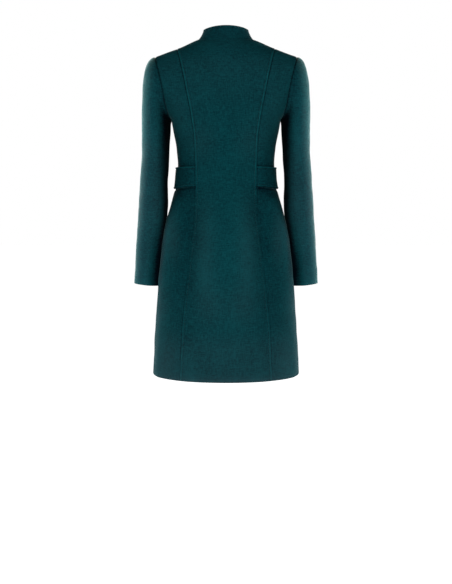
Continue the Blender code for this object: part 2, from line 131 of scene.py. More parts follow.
# The skirt dips along the princess seams and swells between them. Columns: z, depth
SEAM_FLUTES = (
    (-0.8855, 0.0005),
    (-0.790, 0.0020),
    (-0.700, 0.0060),
    (-0.610, 0.0110),
    (-0.520, 0.0135),
    (-0.450, 0.0110),
    (-0.400, 0.0050),
    (-0.350, 0.0),
)
FLUTE_HALF_WIDTH = 0.032
FLUTE_OFFSET = 0.008
FLUTE_FADE = 0.030
DEEPEST_FLUTE = max(depth for _, depth in SEAM_FLUTES)

# Armhole beside a straight line up to the shoulder tip. Columns: share of the way, distance outside it
ARMHOLE_LINE = {
    BACK: (
        (0.0, 0.0),
        (0.10, 0.0034),
        (0.22, 0.0042),
        (0.35, 0.0024),
        (0.50, 0.0),
        (0.75, -0.0012),
        (1.0, 0.0),
    ),
    FRONT: ((0.0, 0.0), (0.5, -0.008), (1.0, 0.0)),
}

# Neck oval and stand collar
NECK_HALF_WIDTH = 0.073
NECK_REACH = {BACK: 0.067, FRONT: 0.073}
COLLAR_TOP_HALF_WIDTH = 0.0595
COLLAR_TOP_REACH = {BACK: 0.057, FRONT: 0.067}
COLLAR_TOP_Z = {"back": 0.0340, "side": 0.028, "front": -0.034}
COLLAR_END_GAP = 0.0015
COLLAR_CORNER = 0.012
COLLAR_BOW = 0.0022

# The right front laps over the left one
LAP = 0.0365
LAP_RISE = 0.0031
LAP_RAMP = (0.082, 0.050)

# Half belts. Columns: share of the way round, top, bottom
BELT_THICKNESS = 0.0038
BELT_STANDOFF = {"bottom": 0.0007, "top": 0.0022}
BELT_LENGTH = 0.250
BELT_END_HEIGHT = 0.0012
BELT_RAMP = 0.0140
BELT_EDGES = ((0.0, -0.3340, -0.3870), (0.5, -0.3363, -0.3943), (1.0, -0.3340, -0.3870))

# Sleeve rings. Columns: z, x, y, half width, half depth, squareness at the inner back
SLEEVE_RINGS = (
    (-0.656, 0.2140, 0.088, 0.0382, 0.047, 1.38),
    (-0.600, 0.2098, 0.076, 0.0384, 0.049, 1.48),
    (-0.520, 0.2034, 0.055, 0.0390, 0.053, 1.95),
    (-0.440, 0.1958, 0.032, 0.0396, 0.057, 2.65),
    (-0.370, 0.1925, 0.014, 0.0368, 0.061, 2.55),
    (-0.300, 0.1876, 0.004, 0.0366, 0.066, 2.20),
    (-0.232, 0.1856, 0.000, 0.0380, 0.070, 2.30),
)
SLEEVE_SQUARENESS = 2.15
CUFF_SLOPE = 0.10
CAP_SPREAD = {"top": 0.120, "bottom": 0.014}
CAP_LIFT = 0.025
CAP_DROP = {"top": 0.250, "bottom": 0.016}
SLEEVE_SEAM_GAP = -0.0006
SLEEVE_SEAM_TURNS = (math.radians(120), math.radians(235))

# Columns of the solid panels' top edges, which place the corner between shoulder and neck
SHOULDER_COLUMNS = 3
NECK_COLUMNS = 6
LAP_COLUMNS = 2
KNOT_ROWS = 11
KNOT_GRADING = 1.8
FINE_KNOT_ROWS = 160

# Fine grids: the usual step, and lines laid close together along every edge
GRID_STEP = 0.0037
EDGE_LINES = (
    (0.0, 0.0003, 0.0007, 0.0012, 0.0018, 0.0025, 0.0033, 0.0041, 0.0049, 0.0056)
    + (0.0063, 0.0071, 0.0082, 0.0098, 0.0122)
)
STEP = 1e-4
SOLVER_ROUNDS = 40

# Relief of seams and edges, as heights above and below the cloth
WELT_WIDTH = 0.0058
WELT_HEIGHT = 0.0014
WELT_ROLL = 0.0016
WELT_FALL = 0.0020
TUCK_DEPTH = 0.0021
TUCK_REACH = 0.0022
PRESSED_DEPTH = 0.0009
PRESSED_REACH = 0.0013
PRESSED_PUFF = 0.0003
SET_IN_DEPTH = 0.0017
SET_IN_REACH = 0.0024
# Painted shade on a sleeve below its armhole seam: strength, reach
SET_IN_SHADE = (0.50, 0.042)
FLAT_SEAM_DEPTH = 0.0002
NECK_OVERLAP = 0.0012
BELT_RIDGE = 0.0009
BELT_RIDGE_PLACE = {"top": 0.0016, "bottom": 0.0040}
BELT_RIDGE_REACH = 0.0016
# Painted highlight on the ridges of the half belts, at the top and at the bottom
BELT_RIDGE_HIGHLIGHT = {"top": 1.0, "bottom": 0.6}
PUFF_PLACE = 0.0070
STITCH_PLACE = 0.0060
STITCH_DEPTH = 0.0005
STITCH_REACH = 0.0011
EDGE_ROLL = CLOTH / 2
HEM_TURN_UP = 0.038
HEM_STEP = 0.0004
HEM_STEP_REACH = 0.010
# Painted light along the hem: strength and reach
HEM_PAINTED_LIGHT = 0.35
HEM_PAINTED_LIGHT_REACH = 0.014

# The welts and the dips beside them, with their painted highlights and painted shade, are strong on the
# upper back and fade over the hip.
# Columns: z, strength of the welt, strength of the dip
SEAM_STRENGTH = (
    (-0.8855, 0.70, 1.3),
    (-0.800, 0.60, 1.2),
    (-0.700, 0.35, 0.9),
    (-0.560, 0.10, 0.5),
    (-0.460, 0.10, 0.6),
    (-0.380, 0.35, 0.6),
    (-0.300, 0.85, 1.2),
    (-0.060, 1.00, 1.5),
    (-0.038, 0.85, 1.3),
    (-0.022, 0.10, 0.8),
)

# Painted sheen: the body is greyer on the shoulders and above the hem. Columns: z, painted sheen
BODY_PAINTED_SHEEN = (
    (-0.8855, 3.60),
    (-0.876, 2.00),
    (-0.860, 1.15),
    (-0.800, 0.90),
    (-0.745, 0.30),
    (-0.690, 0.25),
    (-0.560, 0.05),
    (-0.250, 0.05),
    (-0.130, 0.32),
    (-0.070, 0.45),
    (-0.030, 0.25),
    (0.000, 0.25),
)

# Painted shade in the flutes, and above and below the half belts, by columns of strength and reach.
# The collar and the half belts are painted darker all over.
FLUTE_SHADE = 0.48
BELT_SHADES = {"above": ((0.3, 0.0035), (0.5, 0.0140)), "below": ((0.3, 0.0040), (0.6, 0.0300))}
COLLAR_SHADE = 0.30
BELT_PIECE_SHADE = 0.40

# Painted shade on the sleeves where they face the body, with less painted sheen there, and painted light
# and painted sheen where they face away. Each effect starts where the cloth faces its way by more than a
# share, of which 1 is straight.
SLEEVE_FACING = {"shade": 0.50, "painted_light": 0.50, "bloom": 0.20, "sheen_lost": -0.30}
SLEEVE_SHEEN_LOSS = 0.30
# Columns: z, painted sheen all round, painted shade towards the body, painted light and painted sheen away
# from it
SLEEVE_PAINTED_SHADING = (
    (-0.656, 0.90, 3.4, 0.0, 0.9),
    (-0.580, 0.90, 3.4, 0.0, 1.0),
    (-0.520, 0.95, 1.9, 0.0, 1.0),
    (-0.420, 1.10, 0.5, 0.0, 1.1),
    (-0.350, 1.00, 0.3, 0.0, 1.0),
    (-0.300, 0.90, 0.8, 0.05, 1.0),
    (-0.240, 0.55, 1.8, 0.42, 1.3),
    (-0.190, 0.45, 1.0, 0.38, 1.3),
    (-0.140, 0.30, 0.9, 0.05, 0.6),
    (-0.040, 0.20, 0.9, 0.0, 0.2),
)

# Painted patches on the body: painted light, and painted shadow where the sleeves lie beside the skirt.
# Columns: distance from the middle, z, reach across, reach up and down, painted light (below 0 painted
# shadow), painted sheen
PAINTED_PATCHES = (
    (0.155, -0.222, 0.030, 0.032, 1.40, 0.0),
    (0.160, -0.040, 0.030, 0.014, 0.55, 0.0),
    (0.100, -0.010, 0.026, 0.012, 0.60, 0.0),
    (0.065, -0.270, 0.040, 0.050, 0.0, 0.45),
    (0.130, -0.220, 0.040, 0.070, 0.0, 0.50),
    (0.022, -0.570, 0.045, 0.150, 0.24, 0.10),
    (0.055, -0.560, 0.025, 0.130, 0.05, 0.70),
    (0.035, -0.690, 0.040, 0.045, 0.05, 0.40),
    (0.095, -0.850, 0.030, 0.060, 0.28, 0.0),
    (0.165, -0.850, 0.045, 0.070, 0.45, 1.1),
    (0.138, -0.525, 0.018, 0.060, 0.0, 1.0),
    (0.176, -0.710, 0.020, 0.055, 0.25, 0.9),
    (0.168, -0.510, 0.011, 0.060, -0.80, 0.0),
    (0.173, -0.592, 0.011, 0.045, -0.80, 0.0),
)

# Creases of the body, troughs below 0 and ridges above. Columns: bearing and z of the start and of the
# end, half width, height. The back ones are the same on both sides, the front ones are not.
BACK_CREASES = (
    (16, -0.420, 21, -0.700, 0.020, 0.0030),
    (57, -0.455, 62, -0.690, 0.024, 0.0026),
    (36, -0.404, 90, -0.410, 0.012, -0.0020),
    (24, -0.3875, 94, -0.3965, 0.0036, -0.0036),
    (40, -0.322, 64, -0.284, 0.007, -0.0009),
    (48, -0.330, 76, -0.308, 0.006, -0.0007),
    (30, -0.610, 34, -0.860, 0.018, -0.0004),
    (8, -0.670, 6, -0.872, 0.021, 0.0010),
    (60, -0.700, 66, -0.930, 0.024, 0.0022),
)
FRONT_CREASES = (
    (-92, -0.404, -138, -0.402, 0.011, -0.0020),
    (-156, -0.3875, -86, -0.3965, 0.0036, -0.0034),
    (-150, -0.470, -146, -0.800, 0.020, -0.0016),
    (-169, -0.560, -171, -0.860, 0.018, 0.0011),
    (-120, -0.450, -114, -0.700, 0.017, -0.0015),
    (-100, -0.600, -98, -0.865, 0.015, 0.0010),
    (-110, -0.238, -138, -0.165, 0.010, -0.0012),
    (-106, -0.252, -128, -0.214, 0.008, -0.0008),
    (-142, -0.318, -118, -0.330, 0.007, -0.0008),
    (92, -0.404, 139, -0.400, 0.012, -0.0021),
    (156, -0.3875, 86, -0.3965, 0.0036, -0.0034),
    (153, -0.455, 148, -0.760, 0.022, -0.0015),
    (166, -0.610, 163, -0.868, 0.017, 0.0010),
    (122, -0.470, 117, -0.730, 0.016, -0.0016),
    (104, -0.570, 101, -0.840, 0.016, 0.0011),
    (113, -0.232, 142, -0.150, 0.011, -0.0011),
    (104, -0.248, 124, -0.222, 0.007, -0.0008),
    (138, -0.312, 114, -0.328, 0.007, -0.0009),
)

# Creases of the sleeves. Columns: turn and z of the start and of the end, half width, height
SLEEVE_CREASES = {
    -1: (
        (60, -0.170, 72, -0.330, 0.011, -0.0010),
        (105, -0.205, 92, -0.300, 0.010, 0.0010),
        (100, -0.395, 40, -0.362, 0.008, -0.0006),
        (110, -0.425, 55, -0.412, 0.009, -0.0007),
        (95, -0.455, 30, -0.470, 0.009, -0.0005),
        (-35, -0.372, -105, -0.398, 0.008, -0.0018),
        (-20, -0.405, -120, -0.425, 0.009, -0.0022),
        (-40, -0.440, -110, -0.452, 0.008, -0.0016),
        (-70, -0.240, -95, -0.320, 0.011, -0.0014),
        (75, -0.500, 82, -0.640, 0.012, -0.0009),
        (-60, -0.490, -70, -0.620, 0.012, 0.0010),
    ),
    1: (
        (58, -0.165, 70, -0.320, 0.011, -0.0010),
        (102, -0.210, 90, -0.310, 0.010, 0.0010),
        (104, -0.390, 42, -0.366, 0.008, -0.0006),
        (108, -0.428, 50, -0.408, 0.009, -0.0007),
        (96, -0.460, 34, -0.468, 0.009, -0.0005),
        (-30, -0.368, -110, -0.392, 0.009, -0.0019),
        (-25, -0.398, -115, -0.424, 0.008, -0.0020),
        (-45, -0.446, -105, -0.450, 0.009, -0.0017),
        (-65, -0.250, -100, -0.310, 0.011, -0.0013),
        (78, -0.510, 84, -0.645, 0.012, -0.0009),
        (-55, -0.500, -72, -0.630, 0.012, 0.0010),
    ),
}
CREASE_POINTS = 28
CREASE_FADE = 0.8
CREASE_REACH = 3.0
# Painted shade in the troughs and painted light on the ridges, for each metre of crease height
CREASE_PAINTED_SHADING = 90.0

# Slight unevenness of the hung cloth. Columns: waves for each metre of x, y and z, phase, height
UNEVENNESS = (
    (11.0, 4.0, 6.0, 0.4, 0.00030),
    (-7.0, 9.0, 13.0, 2.1, 0.00025),
    (17.0, -6.0, -5.0, 4.0, 0.00018),
    (5.0, 15.0, -19.0, 1.3, 0.00015),
)

# Stitches
STITCH_LENGTH = 0.0026
STITCH_PITCH = 0.0036
STITCH_RADIUS = 0.00028
STITCH_SIDES = 5
STITCH_SINK = 0.00012
# Columns: share of a stitch's length, share of its radius
STITCH_RINGS = ((0.0, 0.45), (0.22, 1.0), (0.78, 1.0), (1.0, 0.45))

# Finish
CLOTH_DARK = (0.0001, 0.0058, 0.0110, 1.0)
CLOTH_LIGHT = (0.0032, 0.0727, 0.0850, 1.0)
# Colour added as painted sheen
PAINTED_SHEEN_COLOUR = (0.0045, 0.0008, 0.0012, 1.0)
THREAD_DARK = (0.0010, 0.0180, 0.0230, 1.0)
THREAD_LIGHT = (0.0030, 0.0420, 0.0500, 1.0)
WARP_STRETCH = (1.0, 1.0, 0.20)
WEFT_STRETCH = (0.20, 0.20, 1.0)
SHEEN_TINT = (0.62, 0.97, 0.97, 1.0)
BODY_SHEEN = 0.10
SLEEVE_SHEEN = 0.36

# Studio. The softboxes stand in mirrored pairs round the coat, and none of them lights the far sleeve
FLOOR_Z = -1.42
FLOOR_SIZE = 30.0
AMBIENT = 0.03
STUDIO_MIDDLE = (0.0, 0.0, -0.42)
STUDIO_RADIUS = 2.4
WHITE = (1.0, 1.0, 1.0)
COOL = (0.80, 1.0, 1.0)
WARM = (1.0, 0.80, 0.64)
# Columns: degrees round from the back, degrees up, width, height, watts, colour, what they light
SOFTBOXES = {
    "key_low": (20, -19, 1.0, 1.0, 25.6, WHITE, "half"),
    "key_high": (20, 30, 1.0, 1.0, 11.0, WHITE, "half"),
    "rim": (118, -4, 1.0, 1.5, 60.0, COOL, "half"),
    "front": (150, 5, 1.0, 1.2, 45.0, WHITE, "half"),
    "side": (37, -19, 0.8, 0.5, 37.0, WHITE, "sleeve"),
    "side_rim": (118, 30, 1.0, 1.0, 118.0, WARM, "sleeve"),
}
CAMERA_PLACE = (0.0, -3.002, -0.3704)
CAMERA_PITCH = math.radians(2.156)
FOCAL_PIXELS = 1124.8
IMAGE_HEIGHT = 584
AXIS_PIXEL_Y = 222.7
SENSOR = 36.0


def smooth_table(rows, at):
    """Every column after the first, read at given values of the first on a curve that adds no bumps."""
    rows = np.array(rows, float)
    knots, values = rows[:, 0], rows[:, 1:]
    gaps = np.diff(knots)[:, None]
    slopes = np.diff(values, axis=0) / gaps
    tangents = np.zeros_like(values)
    tangents[0], tangents[-1] = slopes[0], slopes[-1]
    before, after = slopes[:-1], slopes[1:]
    same_way = before * after > 0
    total = np.where(same_way, before + after, 1.0)
    tangents[1:-1] = np.where(same_way, 2 * before * after / total, 0.0)
    at = np.clip(np.asarray(at, float), knots[0], knots[-1])
    cell = np.clip(np.searchsorted(knots, at, side="right") - 1, 0, len(knots) - 2)
    width = gaps[cell]
    t = ((at - knots[cell])[..., None]) / width
    value = (
        (2 * t**3 - 3 * t**2 + 1) * values[cell]
        + (t**3 - 2 * t**2 + t) * width * tangents[cell]
        + (3 * t**2 - 2 * t**3) * values[cell + 1]
        + (t**3 - t**2) * width * tangents[cell + 1]
    )
    return [value[..., column] for column in range(value.shape[-1])]


def blend(share):
    """A soft step from 0 to 1."""
    share = np.clip(share, 0.0, 1.0)
    return share * share * (3 - 2 * share)


def bell(distance, reach):
    return np.exp(-np.square(distance / reach))


def oval_reach(turn, power):
    """Distance to a unit superellipse in the direction of turn."""
    return (np.abs(np.sin(turn)) ** power + np.abs(np.cos(turn)) ** power) ** (-1 / power)


def unit(vectors):
    return vectors / np.linalg.norm(vectors, axis=-1, keepdims=True)


# The body surface


def ridge_height(x):
    """Height of the shoulder ridge, which slopes down from the neck to the tips."""
    rounded = np.sqrt(np.square(x) + SHOULDER_ROUNDING**2)
    at_tip = math.hypot(SHOULDER_TIP_X, SHOULDER_ROUNDING)
    from_neck = (np.abs(x) - NECK_HALF_WIDTH) / (SHOULDER_TIP_X - NECK_HALF_WIDTH)
    dip = SHOULDER_DIP * np.sin(math.pi * np.clip(from_neck, 0.0, 1.0)) ** 2
    return SHOULDER_TIP_Z + SHOULDER_SLOPE * (at_tip - rounded) - dip


def section_at(face, level):
    """Half width, depth and squareness of the section at a level, and the height of its lower part."""
    low = np.minimum(level, 0.0)
    height = UNDERARM_Z + low * (UNDERARM_Z - HEM_Z)
    width, back, front, squareness = smooth_table(BODY_SECTIONS, height)
    climb = np.sin(np.maximum(level, 0.0) * math.pi / 2)
    width = width + SHOULDER_WIDENING * climb * (SHOULDER_TIP_Z - UNDERARM_Z)
    return width, back if face == BACK else front, squareness, height


def body_point(face, turn, level):
    """A point from its turn, the angle from the middle to the side, and its level, -1 at the hem to 1."""
    turn, level = np.broadcast_arrays(np.asarray(turn, float), np.asarray(level, float))
    width, depth, squareness, height = section_at(face, level)
    reach = oval_reach(turn, squareness)
    x = width * reach * np.sin(turn)
    rise = np.maximum(level, 0.0) * math.pi / 2
    towards_tip = blend(np.abs(x) / SHOULDER_TIP_X)
    arch = ARCH_AT_MIDDLE[face] + (ARCH_AT_TIP[face] - ARCH_AT_MIDDLE[face]) * towards_tip
    arch_reach = oval_reach(rise, arch)
    flat_depth = depth * reach * np.cos(turn)
    y = flat_depth * arch_reach * np.cos(rise) - seam_flute(face, x, height)
    z = height + arch_reach * np.sin(rise) * (ridge_height(x) - UNDERARM_Z)
    return np.stack([x, face * y, z], axis=-1)


def seam_flute(face, x, height):
    (depth,) = smooth_table(SEAM_FLUTES, height)
    (seam_x,) = smooth_table(PRINCESS_SEAMS[face], height)
    half_width = smooth_table(BODY_SECTIONS, height)[0]
    before_side = blend((half_width - np.abs(x)) / FLUTE_FADE)
    return depth * bell(np.abs(x) - seam_x - FLUTE_OFFSET, FLUTE_HALF_WIDTH) * before_side


def body_normal(face, turn, level):
    level = np.asarray(level, float)
    along_turn = body_point(face, turn + STEP, level) - body_point(face, turn - STEP, level)
    above = np.minimum(level + STEP, 1.0)
    below = np.maximum(level - STEP, -1.0)
    along_level = body_point(face, turn, above) - body_point(face, turn, below)
    return unit(np.cross(along_turn, along_level) * -face)


def turn_at_x(face, x, level):
    """The turn at which the section of a level reaches x."""
    width, _, squareness, _ = section_at(face, level)
    share = np.clip(np.abs(x) / width, 0.0, 1 - 1e-9) ** squareness
    return np.sign(x) * np.arctan((share / (1 - share)) ** (1 / squareness))


def turn_on_line(face, side, level, line):
    """The turn at each level where the surface crosses a line that gives x from z."""
    level = np.asarray(level, float)
    turn = np.full(level.shape, side * 0.5)
    for _ in range(SOLVER_ROUNDS):
        z = body_point(face, turn, level)[..., 2]
        turn = turn_at_x(face, side * line(z), level)
    return turn


def princess_turn(face, side, level):
    return turn_on_line(face, side, level, lambda z: smooth_table(PRINCESS_SEAMS[face], z)[0])


def armhole_x(face, z):
    """x of the armhole seam from its height; below the underarm it is the side of the body."""
    share = np.clip((z - UNDERARM_Z) / (SHOULDER_TIP_Z - UNDERARM_Z), 0.0, 1.0)
    side_x = smooth_table(BODY_SECTIONS, UNDERARM_Z)[0]
    return side_x + (SHOULDER_TIP_X - side_x) * share + smooth_table(ARMHOLE_LINE[face], share)[0]


def side_turn(face, side, level):
    """The side seam up to the underarm, and the armhole above it."""
    level = np.asarray(level, float)
    on_armhole = turn_on_line(face, side, np.maximum(level, 0.0), lambda z: armhole_x(face, z))
    return np.where(level <= 0, side * math.pi / 2, on_armhole)


def turn_gap(face, turn, level, gap):
    """The change of turn that moves a point sideways by a gap."""
    across = body_point(face, turn + STEP, level) - body_point(face, turn - STEP, level)
    return gap * 2 * STEP / np.linalg.norm(across, axis=-1)


def neck_level(face, x):
    """The level at which the body surface meets the neck oval above x."""
    low = np.zeros(np.shape(x))
    high = np.ones(np.shape(x))
    wanted = NECK_REACH[face] * np.sqrt(np.clip(1 - np.square(x / NECK_HALF_WIDTH), 0.0, 1.0))
    for _ in range(SOLVER_ROUNDS):
        middle = (low + high) / 2
        depth = np.abs(body_point(face, turn_at_x(face, x, middle), middle)[..., 1])
        too_low = depth > wanted
        low = np.where(too_low, middle, low)
        high = np.where(too_low, high, middle)
    return (low + high) / 2


def shoulder_level(face, turn):
    """The level just short of the ridge, where the shoulder seam leaves half its gap."""
    edge = body_point(face, turn, 1.0) - body_point(face, turn, 1.0 - STEP)
    return np.minimum(1.0 - SEAM_GAP / 2 * STEP / np.linalg.norm(edge, axis=-1), 1.0)


def level_of(z):
    """The level of a height up to the underarm."""
    return (z - UNDERARM_Z) / (UNDERARM_Z - HEM_Z)


def body_places(bearings, heights):
    """Points of the body from bearings, 0 at the middle of the back and 180 at the front, and heights."""
    behind = np.abs(bearings) <= 90
    from_front = np.copysign(180 - np.abs(bearings), bearings)
    points = np.zeros(bearings.shape + (3,))
    for face, turns in ((BACK, np.radians(bearings)), (FRONT, np.radians(from_front))):
        low, high = np.full(bearings.shape, -1.0), np.ones(bearings.shape)
        for _ in range(SOLVER_ROUNDS):
            middle = (low + high) / 2
            too_low = body_point(face, turns, middle)[..., 2] < heights
            low = np.where(too_low, middle, low)
            high = np.where(too_low, high, middle)
        chosen = behind == (face == BACK)
        points = np.where(chosen[..., None], body_point(face, turns, low), points)
    return points


# Fine grids


def graded(length, close_first=True, close_last=True):
    """Shares of a length from 0 to 1 at the usual step, with the edge lines at the ends that ask for them."""
    lines = np.array(EDGE_LINES)
    first = lines if close_first else lines[:1]
    last = length - (lines if close_last else lines[:1])[::-1]
    inside = last[0] - first[-1]
    between = np.linspace(first[-1], last[0], max(2, round(inside / GRID_STEP)) + 1)[1:-1]
    return np.concatenate([first, between, last]) / length


def body_levels(tops):
    """Levels of every column's rows: the same up to the underarm, then shares of the way to its own top."""
    lower = -1.0 + graded(UNDERARM_Z - HEM_Z, True, False)[:-1]
    upper = graded(SHOULDER_TIP_Z - UNDERARM_Z + 0.03, False, True)
    shared = np.broadcast_to(lower, (len(tops), len(lower)))
    return np.concatenate([shared, np.outer(tops, upper)], axis=1)


def side_panel(face, side):
    """Turns and levels of a side back or side front, from its princess seam to side seam and armhole."""
    shares = graded(0.085)
    inner_top = princess_turn(face, side, np.array(1.0))
    outer_top = side_turn(face, side, np.array(1.0))
    levels = body_levels(shoulder_level(face, inner_top + (outer_top - inner_top) * shares))
    inner = princess_turn(face, side, levels)
    outer = side_turn(face, side, levels)
    inner = inner + side * turn_gap(face, inner, levels, SEAM_GAP / 2)
    outer = outer - side * (levels <= 0) * turn_gap(face, outer, levels, SEAM_GAP / 2)
    return inner + (outer - inner) * shares[:, None], levels


def top_edge_x(face, columns):
    """Distance from the middle along a middle panel's top edge, at a place counted in the solid's columns."""
    seam_x = float(body_point(face, princess_turn(face, 1, np.array(1.0)), 1.0)[0])
    shoulder = seam_x + (NECK_HALF_WIDTH - seam_x) * columns / SHOULDER_COLUMNS
    neck_turn = math.pi / 2 * (1 - (columns - SHOULDER_COLUMNS) / NECK_COLUMNS)
    return np.where(columns <= SHOULDER_COLUMNS, shoulder, NECK_HALF_WIDTH * np.sin(neck_turn))


def middle_panel(face, shares, top_xs, first_edge, last_edge):
    """Turns and levels of a panel that ends at the neck: each column runs up to its own point of the top."""
    on_neck = neck_level(face, np.clip(top_xs, -NECK_HALF_WIDTH, NECK_HALF_WIDTH))
    on_shoulder = shoulder_level(face, turn_at_x(face, top_xs, np.ones(len(top_xs))))
    tops = np.where(np.abs(top_xs) >= NECK_HALF_WIDTH - 1e-9, on_shoulder, on_neck)
    levels = body_levels(tops)
    first, last = first_edge(levels), last_edge(levels)
    top_turns = turn_at_x(face, top_xs, tops)
    top_shares = np.clip((top_turns - first[:, -1]) / (last[:, -1] - first[:, -1]), 0.0, 1.0)
    climb = np.maximum(levels, 0.0) / tops[:, None]
    across = shares[:, None] + (top_shares - shares)[:, None] * climb
    return first + (last - first) * across, levels


def princess_edge(face, side):
    """The edge of a middle panel along its princess seam."""

    def edge(levels):
        turn = princess_turn(face, side, levels)
        return turn - side * turn_gap(face, turn, levels, SEAM_GAP / 2)

    return edge


def with_corner(shares, corner):
    """The shares with the nearest one moved to a corner of the outline."""
    shares = shares.copy()
    shares[np.argmin(np.abs(shares - corner))] = corner
    return shares


def back_centre_panel():
    columns = 2 * (SHOULDER_COLUMNS + NECK_COLUMNS)
    corner = SHOULDER_COLUMNS / columns
    shares = with_corner(with_corner(graded(0.190), corner), 1 - corner)
    from_edge = np.minimum(shares, 1 - shares) * columns
    top_xs = np.where(shares < 0.5, -1, 1) * top_edge_x(BACK, from_edge)
    return middle_panel(BACK, shares, top_xs, princess_edge(BACK, -1), princess_edge(BACK, 1))


def front_panel(side):
    """A front from its princess seam past the middle line, by the lap."""
    columns = SHOULDER_COLUMNS + NECK_COLUMNS + LAP_COLUMNS
    shares = with_corner(graded(0.140), SHOULDER_COLUMNS / columns)
    top_xs = side * top_edge_x(FRONT, shares * columns)
    return middle_panel(
        FRONT, shares, top_xs, princess_edge(FRONT, side), lambda at: turn_at_x(FRONT, -side * LAP, at)
    )


# Collar


def neck_point(turn):
    """A point of the neck seam: turn 0 is the middle of the back, pi the middle of the front."""
    x = NECK_HALF_WIDTH * np.sin(turn)
    points = np.zeros(turn.shape + (3,))
    for face in (BACK, FRONT):
        level = neck_level(face, x)
        here = body_point(face, turn_at_x(face, x, level), level)
        chosen = (np.cos(turn) >= 0) == (face == BACK)
        points = np.where(chosen[..., None], here, points)
    return points


def collar_top(turn):
    """A point of the collar's upper edge, which falls towards the front."""
    behind = np.cos(turn) >= 0
    reach = np.where(behind, COLLAR_TOP_REACH[BACK], COLLAR_TOP_REACH[FRONT])
    end_z = np.where(behind, COLLAR_TOP_Z["back"], COLLAR_TOP_Z["front"])
    share = np.square(np.cos(turn))
    z = COLLAR_TOP_Z["side"] + (end_z - COLLAR_TOP_Z["side"]) * share
    return np.stack([COLLAR_TOP_HALF_WIDTH * np.sin(turn), -reach * np.cos(turn), z], axis=-1)


def bowed_in(turn, climb):
    """How far the collar curves in towards the neck between its two edges."""
    outward = np.stack([np.sin(turn), -np.cos(turn), 0 * turn], axis=-1)
    return COLLAR_BOW * outward[:, None] * np.sin(math.pi * climb)[..., None]


def collar_grid():
    """Points and normals of the stand collar, with rounded corners at its two front ends."""
    end_turn = math.pi - COLLAR_END_GAP / NECK_HALF_WIDTH
    turn = end_turn * (2 * graded(0.42) - 1)
    base = neck_point(turn)
    top = collar_top(turn)
    height = np.linalg.norm(top - base, axis=-1)
    from_end = (end_turn - np.abs(turn)) * COLLAR_TOP_REACH[FRONT]
    into_corner = np.clip(COLLAR_CORNER - from_end, 0.0, COLLAR_CORNER)
    cut = COLLAR_CORNER - np.sqrt(COLLAR_CORNER**2 - np.square(into_corner))
    start = -NECK_OVERLAP / height
    climb = start[:, None] + (1 - cut / height - start)[:, None] * graded(0.040)
    points = base[:, None] + (top - base)[:, None] * climb[..., None]
    points = points - bowed_in(turn, climb)
    around = np.gradient(points, axis=0)
    upward = np.gradient(points, axis=1)
    return points, unit(np.cross(around, upward))


# Sleeves


def armhole_knots(side, count):
    """Points of the armhole seam from the shoulder tip down the back and up the front, and their turns.

    The turns share out one round of the sleeve by length along the seam.
    """
    rows = np.linspace(0.0, 1.0, count + 1) ** KNOT_GRADING
    down = body_point(BACK, side_turn(BACK, side, rows[::-1]), rows[::-1])
    up = body_point(FRONT, side_turn(FRONT, side, rows), rows)
    loop = np.concatenate([down, up[1:]])
    lengths = np.concatenate([[0.0], np.cumsum(np.linalg.norm(np.diff(loop, axis=0), axis=1))])
    return 2 * math.pi * lengths / lengths[-1], loop


def sleeve_ring(turn, height, side):
    """Points of the sleeve tube: turn 0 is its outer side, pi/2 its back and pi the side at the body."""
    x, y, half_width, half_depth, inner_back = smooth_table(SLEEVE_RINGS, height)
    at_inner_back = (np.cos(turn) < 0) & (np.sin(turn) > 0)
    reach = oval_reach(turn, np.where(at_inner_back, inner_back, SLEEVE_SQUARENESS))
    outward = half_width * reach * np.cos(turn)
    z = height + CUFF_SLOPE * outward
    return np.stack([side * (x + outward), y - half_depth * reach * np.sin(turn), z], axis=-1)


def sleeve_point(turn, along, side, armhole):
    """Points of a sleeve: along runs from 0 at the armhole over the cap to 1 and down the tube to 2."""
    turn, along = np.broadcast_arrays(np.asarray(turn, float), np.asarray(along, float))
    cuff, cap_end = SLEEVE_RINGS[0][0], SLEEVE_RINGS[-1][0]
    tilt = (SHOULDER_TIP_X - float(armhole_x(BACK, UNDERARM_Z))) / (SHOULDER_TIP_Z - UNDERARM_Z)
    outward = unit(np.array([side, 0.0, -tilt]))
    knots, loop = armhole
    wanted = np.mod(turn, 2 * math.pi)
    seam = np.stack([np.interp(wanted, knots, loop[:, axis]) for axis in range(3)], axis=-1)
    start = seam + outward * SLEEVE_SEAM_GAP
    at_top = (1 + np.cos(turn)) / 2
    lift = np.array([0.0, 0.0, CAP_LIFT]) * blend(2 * at_top - 1)[..., None]
    spread = CAP_SPREAD["bottom"] + (CAP_SPREAD["top"] - CAP_SPREAD["bottom"]) * at_top
    drop = CAP_DROP["bottom"] + (CAP_DROP["top"] - CAP_DROP["bottom"]) * at_top
    t = np.clip(along, 0.0, 1.0)[..., None]
    cap = (
        (2 * t**3 - 3 * t**2 + 1) * start
        + (t**3 - 2 * t**2 + t) * (outward * spread[..., None] + lift)
        + (3 * t**2 - 2 * t**3) * sleeve_ring(turn, cap_end, side)
        + (t**3 - t**2) * np.array([0.0, 0.0, -1.0]) * drop[..., None]
    )
    height = cap_end + (cuff - cap_end) * np.clip(along - 1, 0.0, 1.0)
    return np.where((along > 1)[..., None], sleeve_ring(turn, height, side), cap)


